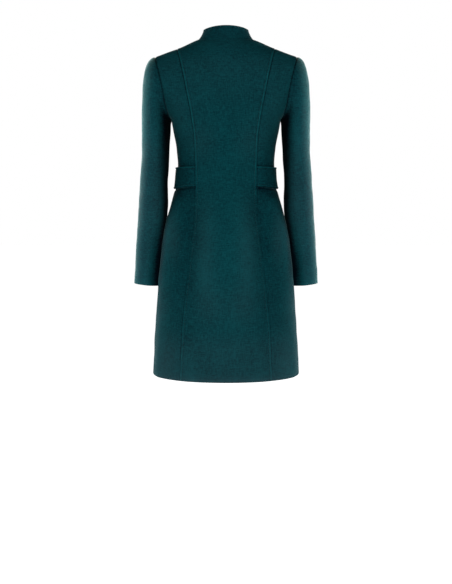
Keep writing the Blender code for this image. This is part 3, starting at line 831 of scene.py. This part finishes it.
def sleeve_grid(first_turn, last_turn, side):
    """Points and normals of one piece of a sleeve between two seams."""
    armhole = armhole_knots(side, FINE_KNOT_ROWS)
    gap = SEAM_GAP / 2 / SLEEVE_RINGS[0][4]
    width = (last_turn - first_turn) * SLEEVE_RINGS[0][4]
    turn = first_turn + gap + (last_turn - first_turn - 2 * gap) * graded(width)
    along = np.concatenate([graded(0.170, True, False), 1 + graded(0.423, False, True)[1:]])
    turn, along = np.meshgrid(turn, along, indexing="ij")
    points = sleeve_point(turn, along, side, armhole)
    around = sleeve_point(turn + STEP, along, side, armhole) - sleeve_point(turn - STEP, along, side, armhole)
    before, after = np.maximum(along - STEP, 0.0), np.minimum(along + STEP, 2.0)
    down = sleeve_point(turn, after, side, armhole) - sleeve_point(turn, before, side, armhole)
    return points, unit(np.cross(around, down) * side)


def sleeve_seams(side):
    """The turns of the back and front seams of the sleeve, at the nearest corners of the solid armhole."""
    knots, _ = armhole_knots(side, KNOT_ROWS)
    return [float(knots[np.argmin(np.abs(knots - turn))]) for turn in SLEEVE_SEAM_TURNS]


# Half belts


def belt_grid(side):
    """Points and normals of the outside of a half belt, which lies on the side panels from seam to seam."""
    share = graded(BELT_LENGTH)
    top, bottom = smooth_table(BELT_EDGES, share)
    climb = graded(0.053)
    z = bottom[:, None] + (top - bottom)[:, None] * climb
    levels = level_of(z)
    points = np.zeros(z.shape + (3,))
    normals = np.zeros(z.shape + (3,))
    for face in (BACK, FRONT):
        seam = princess_turn(face, side, levels)
        seam = seam + side * turn_gap(face, seam, levels, SEAM_GAP)
        towards_side = 2 * share if face == BACK else 2 * (1 - share)
        turn = seam + (side * math.pi / 2 - seam) * np.minimum(towards_side, 1.0)[:, None]
        here = (share <= 0.5) == (face == BACK)
        points = np.where(here[:, None, None], body_point(face, turn, levels), points)
        normals = np.where(here[:, None, None], body_normal(face, turn, levels), normals)
    standoff = BELT_STANDOFF["bottom"] + (BELT_STANDOFF["top"] - BELT_STANDOFF["bottom"]) * climb
    from_end = np.minimum(share, 1 - share) * BELT_LENGTH
    height = BELT_END_HEIGHT + (
        (standoff + BELT_THICKNESS - BELT_END_HEIGHT) * blend(from_end / BELT_RAMP)[:, None]
    )
    return points + normals * height[..., None], normals


# Relief of seams and edges: each gives the outer height and painted shading,
# above 0 for a painted highlight and below 0 for painted shade


def welt(distance):
    """The raised, topstitched edge of a middle panel along a princess seam, with a painted highlight on its
    crest and painted shade at its stitches.
    """
    rise = 0.3 + 0.7 * blend(distance / WELT_ROLL)
    crest = rise * (1 - blend((distance - WELT_WIDTH + WELT_FALL) / WELT_FALL))
    stitch = bell(distance - STITCH_PLACE, STITCH_REACH)
    return WELT_HEIGHT * crest - STITCH_DEPTH * stitch, 0.8 * crest - 0.5 * stitch


def tucked(distance):
    """The edge of a panel that runs under a welt, with painted shade in its dip."""
    dip = bell(distance, TUCK_REACH)
    return -TUCK_DEPTH * dip, -1.0 * dip


def pressed(distance):
    """A plain seam pressed open, a little full over its turnings, with painted shade in its dip."""
    dip = bell(distance, PRESSED_REACH)
    return PRESSED_PUFF * bell(distance - PUFF_PLACE, PUFF_PLACE / 2) - PRESSED_DEPTH * dip, -0.6 * dip


def set_in(distance):
    """The top of a sleeve, which dips into the armhole seam, with painted shade in the dip and on the sleeve
    below it.
    """
    dip = bell(distance, SET_IN_REACH)
    shade, reach = SET_IN_SHADE
    return -SET_IN_DEPTH * dip, -0.55 * dip - shade * bell(distance, reach)


def flat_seam(distance):
    """A seam pressed so flat that it hardly shows, with faint painted shade in its dip."""
    dip = bell(distance, PRESSED_REACH)
    return -FLAT_SEAM_DEPTH * dip, -0.2 * dip


def neck_seam(distance):
    """The seam under the collar, with a painted highlight along it."""
    on_seam = bell(distance, PRESSED_REACH)
    return -FLAT_SEAM_DEPTH * on_seam, 0.5 * on_seam


def rolled(distance):
    """A turned, rounded edge, with a painted highlight along it."""
    into = np.clip(EDGE_ROLL - distance, 0.0, 0.94 * EDGE_ROLL)
    return np.sqrt(EDGE_ROLL**2 - np.square(into)) - EDGE_ROLL, 0.25 * bell(distance, PRESSED_REACH)


def turned_up(distance):
    """A hem: a rounded edge, the faint step where its turn-up ends, and painted light along the hem."""
    roll, tone = rolled(distance)
    step = HEM_STEP * (1 - blend((distance - HEM_TURN_UP) / HEM_STEP_REACH))
    return roll + step, tone + HEM_PAINTED_LIGHT * bell(distance, HEM_PAINTED_LIGHT_REACH)


def topstitched(distance):
    """A rounded edge with a row of stitches sunk along it, and painted shade in the stitch groove."""
    roll, tone = rolled(distance)
    stitch = bell(distance - STITCH_PLACE, STITCH_REACH)
    return roll - STITCH_DEPTH * stitch, tone - 0.5 * stitch


def belt_top(distance):
    """The upper edge of a half belt, full over its turnings, with its row of stitches behind the ridge and a
    painted highlight on the ridge.
    """
    height, tone = topstitched(distance)
    ridge = bell(distance - BELT_RIDGE_PLACE["top"], BELT_RIDGE_REACH)
    return height + BELT_RIDGE * ridge, tone + BELT_RIDGE_HIGHLIGHT["top"] * ridge


def belt_bottom(distance):
    """The lower edge of a half belt, which rolls under below its ridge, with a painted highlight on the ridge
    and painted shade where it rolls under.
    """
    height, tone = topstitched(distance)
    ridge = bell(distance - BELT_RIDGE_PLACE["bottom"], BELT_RIDGE_REACH)
    rolled_under = bell(distance, BELT_RIDGE_REACH)
    return height + BELT_RIDGE * ridge, tone + BELT_RIDGE_HIGHLIGHT["bottom"] * ridge - 1.1 * rolled_under


def edge_distances(points):
    """Distance along the grid from its first and last columns and from its first and last rows."""
    zero_column = np.zeros((1,) + points.shape[1:2])
    across = np.concatenate(
        [zero_column, np.cumsum(np.linalg.norm(np.diff(points, axis=0), axis=-1), axis=0)]
    )
    zero_row = np.zeros(points.shape[:1] + (1,))
    along = np.concatenate(
        [zero_row, np.cumsum(np.linalg.norm(np.diff(points, axis=1), axis=-1), axis=1)], axis=1
    )
    return {"first": across, "last": across[-1:] - across, "start": along, "end": along[:, -1:] - along}


# Creases


def crease_heights(points, path, half_width, height):
    """A soft trough or ridge along a path, fading towards its ends."""
    heights = np.zeros(points.shape[:-1])
    margin = CREASE_REACH * half_width
    low, high = path.min(axis=0) - margin, path.max(axis=0) + margin
    near = np.all((points > low) & (points < high), axis=-1)
    steps = np.gradient(path, axis=0)
    spacing = np.linalg.norm(steps, axis=1)
    offsets = points[near][:, None] - path
    nearest = np.argmin(np.sum(np.square(offsets), axis=-1), axis=1)
    offset = offsets[np.arange(len(nearest)), nearest]
    along = np.sum(offset * steps[nearest], axis=1) / spacing[nearest]
    aside = np.sqrt(np.maximum(np.sum(np.square(offset), axis=1) - np.square(along), 0.0))
    share = np.clip((nearest + along / spacing[nearest]) / (len(path) - 1), 0.0, 1.0)
    heights[near] = height * bell(aside, half_width) * np.sin(math.pi * share) ** CREASE_FADE
    return heights


def body_crease_paths():
    """Paths of the body's creases with their half widths and heights."""
    rows = list(FRONT_CREASES)
    for side in (-1, 1):
        rows += [(side * row[0], row[1], side * row[2], *row[3:]) for row in BACK_CREASES]
    first, first_z, last, last_z, half_width, height = np.array(rows, float).T
    bearings = np.linspace(first, last, CREASE_POINTS, axis=-1)
    places = body_places(bearings, np.linspace(first_z, last_z, CREASE_POINTS, axis=-1))
    return list(zip(places, half_width, height))


def sleeve_crease_paths(side):
    made = []
    for first, first_z, last, last_z, half_width, height in SLEEVE_CREASES[side]:
        turns = np.radians(np.linspace(first, last, CREASE_POINTS))
        made.append(
            (sleeve_ring(turns, np.linspace(first_z, last_z, CREASE_POINTS), side), half_width, height)
        )
    return made


def drape(points, paths):
    """Height of all creases and of the slight unevenness at points of the cloth."""
    total = np.zeros(points.shape[:-1])
    for *waves, phase, height in UNEVENNESS:
        total += height * np.sin(2 * math.pi * (points @ np.array(waves)) + phase)
    for path, half_width, height in paths:
        total += crease_heights(points, path, half_width, height)
    return total


# Shells


def shell_faces(columns, rows):
    """Quads of two matching grids joined round their rims."""
    index = np.arange(columns * rows).reshape(columns, rows)
    inner = index + columns * rows
    quads = np.stack([index[:-1, :-1], index[1:, :-1], index[1:, 1:], index[:-1, 1:]], axis=-1).reshape(-1, 4)
    rim = np.concatenate([index[:, 0], index[-1, 1:], index[-2::-1, -1], index[0, -2::-1]])
    rim_inner = rim + columns * rows
    sides = np.stack([rim[1:], rim[:-1], rim_inner[:-1], rim_inner[1:]], axis=-1)
    inside = np.stack(
        [inner[:-1, 1:], inner[1:, 1:], inner[1:, :-1], inner[:-1, :-1]], axis=-1
    ).reshape(-1, 4)
    return np.concatenate([quads, inside, sides])


def add_mesh(name, points, faces, material):
    mesh = bpy.data.meshes.new(name)
    mesh.from_pydata(points, [], faces)
    mesh.shade_smooth()
    mesh.materials.append(material)
    piece = bpy.data.objects.new(name, mesh)
    bpy.context.scene.collection.objects.link(piece)
    return piece


def add_shell(
    node, grid, edges, paths, material, shade, bloom=None, thickness=CLOTH, held="hung", rests_on=()
):
    """One cut piece as a closed shell, in place of its solid; returns its outer points and edge distances."""
    base, normals = grid
    folds = drape(base, paths)
    points = base + normals * folds[..., None]
    distances = edge_distances(points)
    relief = np.zeros(points.shape[:2])
    roll = np.zeros(points.shape[:2])
    # Painted shading: painted shade in the troughs of the creases and unevenness, painted light on their
    # ridges, less the painted shade given for the piece
    tone = CREASE_PAINTED_SHADING * folds - shade
    strengths = dict(zip((welt, tucked), smooth_table(SEAM_STRENGTH, points[..., 2])))
    for edge, treatment in edges.items():
        height, painted_light = treatment(distances[edge])
        share = strengths.get(treatment, 1.0)
        relief += share * height
        tone += share * painted_light
        if treatment in (rolled, turned_up, topstitched, belt_top, belt_bottom):
            roll += rolled(distances[edge])[0]
    outer = points + normals * relief[..., None]
    inner = points - normals * (thickness + roll)[..., None]
    columns, rows = relief.shape
    faces = shell_faces(columns, rows)
    facing = np.cross(points[1, 0] - points[0, 0], points[0, 1] - points[0, 0]) @ normals[0, 0]
    if facing < 0:
        faces = faces[:, ::-1]
    piece = add_mesh(
        "cloth_" + node, np.concatenate([outer.reshape(-1, 3), inner.reshape(-1, 3)]), faces, material
    )
    piece.data.set_sharp_from_angle(angle=math.radians(50))
    # Unless given, the painted sheen of the body by height and by the painted patches
    if bloom is None:
        (bloom,) = smooth_table(BODY_PAINTED_SHEEN, points[..., 2]) + patch_sum(points, "bloom")
    # The painted shading and painted sheen go to the material as point attributes, 0 on the inside of the
    # shell
    for name, values in (("tone", tone), ("bloom", bloom)):
        attribute = piece.data.attributes.new(name, "FLOAT", "POINT")
        attribute.data.foreach_set(
            "value", np.concatenate([values.ravel(), 0 * values.ravel()]).astype(np.float32)
        )
    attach(piece, "root")
    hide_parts(node)
    return outer, normals, distances


# Topstitching


def stitch_line(outer, normals, distances, edge):
    """Points and normals of the line along which an edge is topstitched."""
    if edge in ("start", "end"):
        outer, normals, distance = (np.swapaxes(array, 0, 1) for array in (outer, normals, distances[edge]))
    else:
        distance = distances[edge]
    if edge in ("last", "end"):
        outer, normals, distance = outer[::-1], normals[::-1], distance[::-1]
    lines = []
    for array in (outer, normals):
        columns = [
            [np.interp(STITCH_PLACE, distance[:, row], array[:, row, axis]) for axis in range(3)]
            for row in range(array.shape[1])
        ]
        lines.append(np.array(columns))
    return lines[0], unit(lines[1])


def add_stitches(name, lines, material):
    """Rows of separate small stitches, joined in one piece."""
    rings = []
    for points, normals in lines:
        lengths = np.concatenate([[0.0], np.cumsum(np.linalg.norm(np.diff(points, axis=0), axis=1))])
        starts = np.arange(STITCH_PLACE, lengths[-1] - STITCH_PLACE - STITCH_LENGTH, STITCH_PITCH)

        def read(array, at):
            return np.stack([np.interp(at, lengths, array[:, axis]) for axis in range(3)], axis=-1)

        first, last = read(points, starts), read(points, starts + STITCH_LENGTH)
        upward = unit(read(normals, starts + STITCH_LENGTH / 2))
        forward = unit(last - first)
        aside = np.cross(forward, upward)
        for share, radius in STITCH_RINGS:
            middle = first + (last - first) * share + upward * STITCH_SINK
            turns = 2 * math.pi * np.arange(STITCH_SIDES) / STITCH_SIDES
            circle = aside[:, None] * np.cos(turns)[:, None] + upward[:, None] * np.sin(turns)[:, None]
            rings.append(middle[:, None] + radius * STITCH_RADIUS * circle)
    count = len(STITCH_RINGS)
    grouped = [np.stack(rings[k : k + count], axis=1) for k in range(0, len(rings), count)]
    stitches = np.concatenate(grouped)
    corners = np.arange(STITCH_SIDES)
    index = np.arange(count * STITCH_SIDES).reshape(count, STITCH_SIDES)
    following = np.roll(corners, -1)
    tube = np.stack(
        [index[:-1], index[:-1][:, following], index[1:][:, following], index[1:]], axis=-1
    ).reshape(-1, 4)
    faces = []
    for number in range(len(stitches)):
        offset = number * count * STITCH_SIDES
        faces += (tube + offset).tolist()
        faces += [(index[0][::-1] + offset).tolist(), (index[-1] + offset).tolist()]
    piece = add_mesh(name, stitches.reshape(-1, 3), faces, material)
    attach(piece, "root")


def body_grid(face, panel, rise=None):
    turns, levels = panel
    points = body_point(face, turns, levels)
    normals = body_normal(face, turns, levels)
    if rise is not None:
        points = points + normals * rise(points[..., 0])[..., None]
    return points, normals


def patch_sum(points, kind):
    """How much painted light, or how much painted sheen, the painted patches give at points of the body."""
    total = np.zeros(points.shape[:-1])
    for x, z, across, up, painted_light, bloom in PAINTED_PATCHES:
        strength = {"painted_light": painted_light, "bloom": bloom}[kind]
        total += strength * bell(np.abs(points[..., 0]) - x, across) * bell(points[..., 2] - z, up)
    return total


def hollow_shade(face, grid):
    """How much painted shade there is in the flutes, less the painted light of the patches."""
    x, _, z = np.moveaxis(grid[0], -1, 0)
    return FLUTE_SHADE * seam_flute(face, x, z) / DEEPEST_FLUTE - patch_sum(grid[0], "painted_light")


def belt_shade(grid):
    """How much painted shade a side panel has close above and below its half belt."""
    z = grid[0][..., 2]
    distances = edge_distances(grid[0])
    from_seam = distances["first"] / (distances["first"] + distances["last"]) / 2
    top, bottom = smooth_table(BELT_EDGES, from_seam)
    above = sum(strength * bell(z - top, reach) for strength, reach in BELT_SHADES["above"])
    below = sum(strength * bell(bottom - z, reach) for strength, reach in BELT_SHADES["below"])
    return np.where(z > top, above, 0.0) + np.where(z < bottom, below, 0.0)


def sleeve_painted_shading(grid, side):
    """How much painted shade, less painted light, and how much painted sheen a sleeve has by the way it
    faces.
    """
    points, normals = grid
    bloom, strength, painted_light, painted_rim_sheen = smooth_table(SLEEVE_PAINTED_SHADING, points[..., 2])
    inward = -side * normals[..., 0]
    towards = {"shade": inward, "painted_light": -inward, "bloom": -inward, "sheen_lost": inward}
    share = {kind: blend((towards[kind] - start) / (1 - start)) for kind, start in SLEEVE_FACING.items()}
    shade = strength * share["shade"] - painted_light * share["painted_light"]
    sheen_lost = np.minimum(SLEEVE_SHEEN_LOSS * strength, 1.0) * share["sheen_lost"]
    return shade, bloom * (1 - sheen_lost) + painted_rim_sheen * share["bloom"]


def lap_rise(x):
    """How far the right front stands out where it lies over the left one."""
    start, full = LAP_RAMP
    return LAP_RISE * blend((start - x) / (start - full))


# Materials


def node_material(name):
    """A new material with its nodes, links and shader."""
    material = bpy.data.materials.new(name)
    material.use_nodes = True
    nodes = material.node_tree.nodes
    return material, nodes, material.node_tree.links, nodes["Principled BSDF"]


def stretched(nodes, links, place, stretch):
    """Coordinates for a pattern drawn out along some axes."""
    node = nodes.new("ShaderNodeVectorMath")
    node.operation = "MULTIPLY"
    links.new(place, node.inputs[0])
    node.inputs[1].default_value = stretch
    return node.outputs["Vector"]


def add_noise(nodes, links, place, scale, detail, roughness, distortion=0.0):
    node = nodes.new("ShaderNodeTexNoise")
    node.inputs["Scale"].default_value = scale
    node.inputs["Detail"].default_value = detail
    node.inputs["Roughness"].default_value = roughness
    node.inputs["Distortion"].default_value = distortion
    links.new(place, node.inputs["Vector"])
    return node.outputs["Fac"]


def weighted_sum(nodes, links, terms, constant):
    """The sum of values times their weights and of a constant."""
    total = None
    for value, weight in terms:
        node = nodes.new("ShaderNodeMath")
        node.operation = "MULTIPLY_ADD"
        links.new(value, node.inputs[0])
        node.inputs[1].default_value = weight
        if total is None:
            node.inputs[2].default_value = constant
        else:
            links.new(total, node.inputs[2])
        total = node.outputs["Value"]
    return total


def mixed_colour(nodes, links, share, dark, light):
    node = nodes.new("ShaderNodeMix")
    node.data_type = "RGBA"
    node.inputs["A"].default_value = dark
    node.inputs["B"].default_value = light
    links.new(share, node.inputs["Factor"])
    return node.outputs["Result"]


def melton(name, sheen):
    """Felted wool: a short nap in mottled teal, with painted highlights where seams stand out, painted shade
    in their dips and painted sheen as a greyer colour.
    """
    material, nodes, links, shader = node_material(name)
    place = nodes.new("ShaderNodeTexCoord").outputs["Object"]
    warp = add_noise(nodes, links, stretched(nodes, links, place, WARP_STRETCH), 420.0, 2.0, 0.6, 0.3)
    weft = add_noise(nodes, links, stretched(nodes, links, place, WEFT_STRETCH), 420.0, 2.0, 0.6, 0.3)
    fibre = add_noise(nodes, links, place, 900.0, 3.0, 0.70, 1.4)
    cloud = add_noise(nodes, links, place, 14.0, 2.0, 0.5)
    # Painted shading from a point attribute, above 0 painted light and below 0 painted shade, mixed in with
    # the grain
    tone = nodes.new("ShaderNodeAttribute")
    tone.attribute_name = "tone"
    shades = [(warp, 0.65), (weft, 0.65), (fibre, 0.40), (cloud, 0.20), (tone.outputs["Fac"], 0.35)]
    share = weighted_sum(nodes, links, shades, -0.45)
    # Painted sheen: a greyer colour added by a point attribute
    bloom = nodes.new("ShaderNodeAttribute")
    bloom.attribute_name = "bloom"
    with_painted_sheen = nodes.new("ShaderNodeMix")
    with_painted_sheen.data_type = "RGBA"
    with_painted_sheen.blend_type = "ADD"
    with_painted_sheen.clamp_factor = False
    links.new(bloom.outputs["Fac"], with_painted_sheen.inputs["Factor"])
    links.new(mixed_colour(nodes, links, share, CLOTH_DARK, CLOTH_LIGHT), with_painted_sheen.inputs["A"])
    with_painted_sheen.inputs["B"].default_value = PAINTED_SHEEN_COLOUR
    links.new(with_painted_sheen.outputs["Result"], shader.inputs["Base Color"])
    bump = nodes.new("ShaderNodeBump")
    bump.inputs["Strength"].default_value = 0.6
    bump.inputs["Distance"].default_value = 0.0006
    links.new(
        weighted_sum(nodes, links, [(warp, 0.6), (weft, 0.6), (fibre, 0.9)], 0.0), bump.inputs["Height"]
    )
    links.new(bump.outputs["Normal"], shader.inputs["Normal"])
    shader.inputs["Roughness"].default_value = 0.95
    shader.inputs["Specular IOR Level"].default_value = 0.02
    shader.inputs["Sheen Weight"].default_value = sheen
    shader.inputs["Sheen Roughness"].default_value = 0.25
    shader.inputs["Sheen Tint"].default_value = SHEEN_TINT
    return material


def sewing_thread():
    """Twisted thread in the colour of the cloth."""
    material, nodes, links, shader = node_material("sewing_thread")
    place = nodes.new("ShaderNodeTexCoord").outputs["Object"]
    strands = add_noise(nodes, links, place, 2600.0, 2.0, 0.6, 0.8)
    links.new(mixed_colour(nodes, links, strands, THREAD_DARK, THREAD_LIGHT), shader.inputs["Base Color"])
    bump = nodes.new("ShaderNodeBump")
    bump.inputs["Strength"].default_value = 0.4
    bump.inputs["Distance"].default_value = 0.0001
    links.new(strands, bump.inputs["Height"])
    links.new(bump.outputs["Normal"], shader.inputs["Normal"])
    shader.inputs["Roughness"].default_value = 0.6
    shader.inputs["Specular IOR Level"].default_value = 0.25
    return material


# Studio


def add_camera():
    data = bpy.data.cameras.new("camera")
    data.sensor_width = SENSOR
    data.lens = SENSOR * FOCAL_PIXELS / IMAGE_HEIGHT
    data.shift_y = (AXIS_PIXEL_Y - IMAGE_HEIGHT / 2) / IMAGE_HEIGHT
    camera = bpy.data.objects.new("camera", data)
    camera.location = CAMERA_PLACE
    camera.rotation_euler = (math.pi / 2 - CAMERA_PITCH, 0.0, 0.0)
    bpy.context.scene.collection.objects.link(camera)
    bpy.context.scene.camera = camera


def add_softbox(name, place, width, height, watts, colour):
    data = bpy.data.lights.new("softbox_" + name, "AREA")
    data.shape = "RECTANGLE"
    data.size = width
    data.size_y = height
    data.energy = watts
    data.color = colour
    lamp = bpy.data.objects.new("softbox_" + name, data)
    lamp.location = place
    lamp.rotation_euler = (Vector(STUDIO_MIDDLE) - lamp.location).to_track_quat("-Z", "Y").to_euler()
    lamp.visible_camera = False
    bpy.context.scene.collection.objects.link(lamp)
    return lamp


def lit_pieces(name, wanted):
    """A collection of the pieces whose names are wanted, for a lamp that lights only these."""
    group = bpy.data.collections.new(name)
    for piece in bpy.context.scene.objects:
        if piece.type == "MESH" and wanted(piece.name):
            group.objects.link(piece)
    return group


def add_softboxes():
    for side, word, other in ((-1, "left", "right"), (1, "right", "left")):
        groups = {
            "half": lit_pieces(f"half_{word}", lambda name: "sleeve" not in name or other not in name),
            "sleeve": lit_pieces(f"sleeve_{word}", lambda name: "sleeve" in name and word in name),
        }
        for name, (azimuth, elevation, *box, lights) in SOFTBOXES.items():
            round_by, up_by = math.radians(azimuth), math.radians(elevation)
            away = Vector(
                (
                    side * math.sin(round_by) * math.cos(up_by),
                    -math.cos(round_by) * math.cos(up_by),
                    math.sin(up_by),
                )
            )
            lamp = add_softbox(f"{name}_{word}", Vector(STUDIO_MIDDLE) + STUDIO_RADIUS * away, *box)
            lamp.light_linking.receiver_collection = groups[lights]


def add_surroundings():
    """White all round for the camera, and a dim even light from it on the coat."""
    world = bpy.data.worlds.new("studio")
    world.use_nodes = True
    nodes = world.node_tree.nodes
    links = world.node_tree.links
    dim = nodes["Background"]
    dim.inputs["Color"].default_value = (1.0, 1.0, 1.0, 1.0)
    dim.inputs["Strength"].default_value = AMBIENT
    white = nodes.new("ShaderNodeBackground")
    white.inputs["Color"].default_value = (1.0, 1.0, 1.0, 1.0)
    mix = nodes.new("ShaderNodeMixShader")
    links.new(nodes.new("ShaderNodeLightPath").outputs["Is Camera Ray"], mix.inputs["Fac"])
    links.new(dim.outputs["Background"], mix.inputs[1])
    links.new(white.outputs["Background"], mix.inputs[2])
    links.new(mix.outputs["Shader"], nodes["World Output"].inputs["Surface"])
    bpy.context.scene.world = world


def add_floor():
    material = bpy.data.materials.new("floor")
    material.use_nodes = True
    shader = material.node_tree.nodes["Principled BSDF"]
    shader.inputs["Base Color"].default_value = (0.9, 0.9, 0.9, 1.0)
    shader.inputs["Roughness"].default_value = 1.0
    shader.inputs["Emission Color"].default_value = (1.0, 1.0, 1.0, 1.0)
    shader.inputs["Emission Strength"].default_value = 1.0
    half = FLOOR_SIZE / 2
    corners = [(-half, -half, FLOOR_Z), (half, -half, FLOOR_Z), (half, half, FLOOR_Z), (-half, half, FLOOR_Z)]
    floor = add_mesh("floor", corners, [(0, 1, 2, 3)], material)
    floor.visible_diffuse = False
    floor.visible_glossy = False


def main():
    cloth = melton("wool_melton", BODY_SHEEN)
    sleeve_cloth = melton("wool_melton_sleeve", SLEEVE_SHEEN)
    thread = sewing_thread()
    paths = body_crease_paths()
    middle = {"first": welt, "last": welt, "start": turned_up, "end": neck_seam}
    side_edges = {"first": tucked, "last": pressed, "start": turned_up, "end": flat_seam}
    front_edges = {"first": welt, "last": topstitched, "start": turned_up, "end": neck_seam}
    back_grid = body_grid(BACK, back_centre_panel())
    back = add_shell("back_centre", back_grid, middle, paths, cloth, hollow_shade(BACK, back_grid))
    add_stitches("stitches_back", [stitch_line(*back, edge) for edge in ("first", "last")], thread)
    left_grid = body_grid(FRONT, front_panel(-1))
    right_grid = body_grid(FRONT, front_panel(1), lap_rise)
    left_front = add_shell("front_left", left_grid, front_edges, paths, cloth, hollow_shade(FRONT, left_grid))
    right_front = add_shell(
        "front_right", right_grid, front_edges, paths, cloth, hollow_shade(FRONT, right_grid)
    )
    add_stitches("stitches_front_left", [stitch_line(*left_front, "first")], thread)
    add_stitches(
        "stitches_front_right", [stitch_line(*right_front, edge) for edge in ("first", "last")], thread
    )
    collar_edges = {"first": topstitched, "last": topstitched, "start": flat_seam, "end": topstitched}
    collar = add_shell("collar", collar_grid(), collar_edges, [], cloth, COLLAR_SHADE)
    add_stitches("stitches_collar", [stitch_line(*collar, edge) for edge in ("first", "end", "last")], thread)
    sleeve_edges = {"first": flat_seam, "last": flat_seam, "start": set_in, "end": turned_up}
    belt_edges = {"first": tucked, "last": tucked, "start": belt_bottom, "end": belt_top}
    for side, word in ((-1, "left"), (1, "right")):
        for face, node in ((BACK, f"back_side_{word}"), (FRONT, f"front_side_{word}")):
            grid = body_grid(face, side_panel(face, side))
            add_shell(node, grid, side_edges, paths, cloth, hollow_shade(face, grid) + belt_shade(grid))
        back_seam, front_seam = sleeve_seams(side)
        folds = sleeve_crease_paths(side)
        upper = sleeve_grid(front_seam - 2 * math.pi, back_seam, side)
        add_shell(f"sleeve_upper_{word}", upper, sleeve_edges, folds, sleeve_cloth, *sleeve_painted_shading(upper, side))
        under = sleeve_grid(back_seam, front_seam, side)
        add_shell(f"sleeve_under_{word}", under, sleeve_edges, folds, cloth, *sleeve_painted_shading(under, side))
        beneath = [f"cloth_back_side_{word}", f"cloth_front_side_{word}"]
        belt = add_shell(
            f"half_belt_{word}",
            belt_grid(side),
            belt_edges,
            [],
            cloth,
            BELT_PIECE_SHADE,
            thickness=BELT_THICKNESS,
            held="stretched",
            rests_on=beneath,
        )
        add_stitches(f"stitches_belt_{word}", [stitch_line(*belt, edge) for edge in ("start", "end")], thread)

    add_camera()
    add_floor()
    add_softboxes()
    add_surroundings()
    bpy.context.scene.view_settings.view_transform = "Standard"


main()
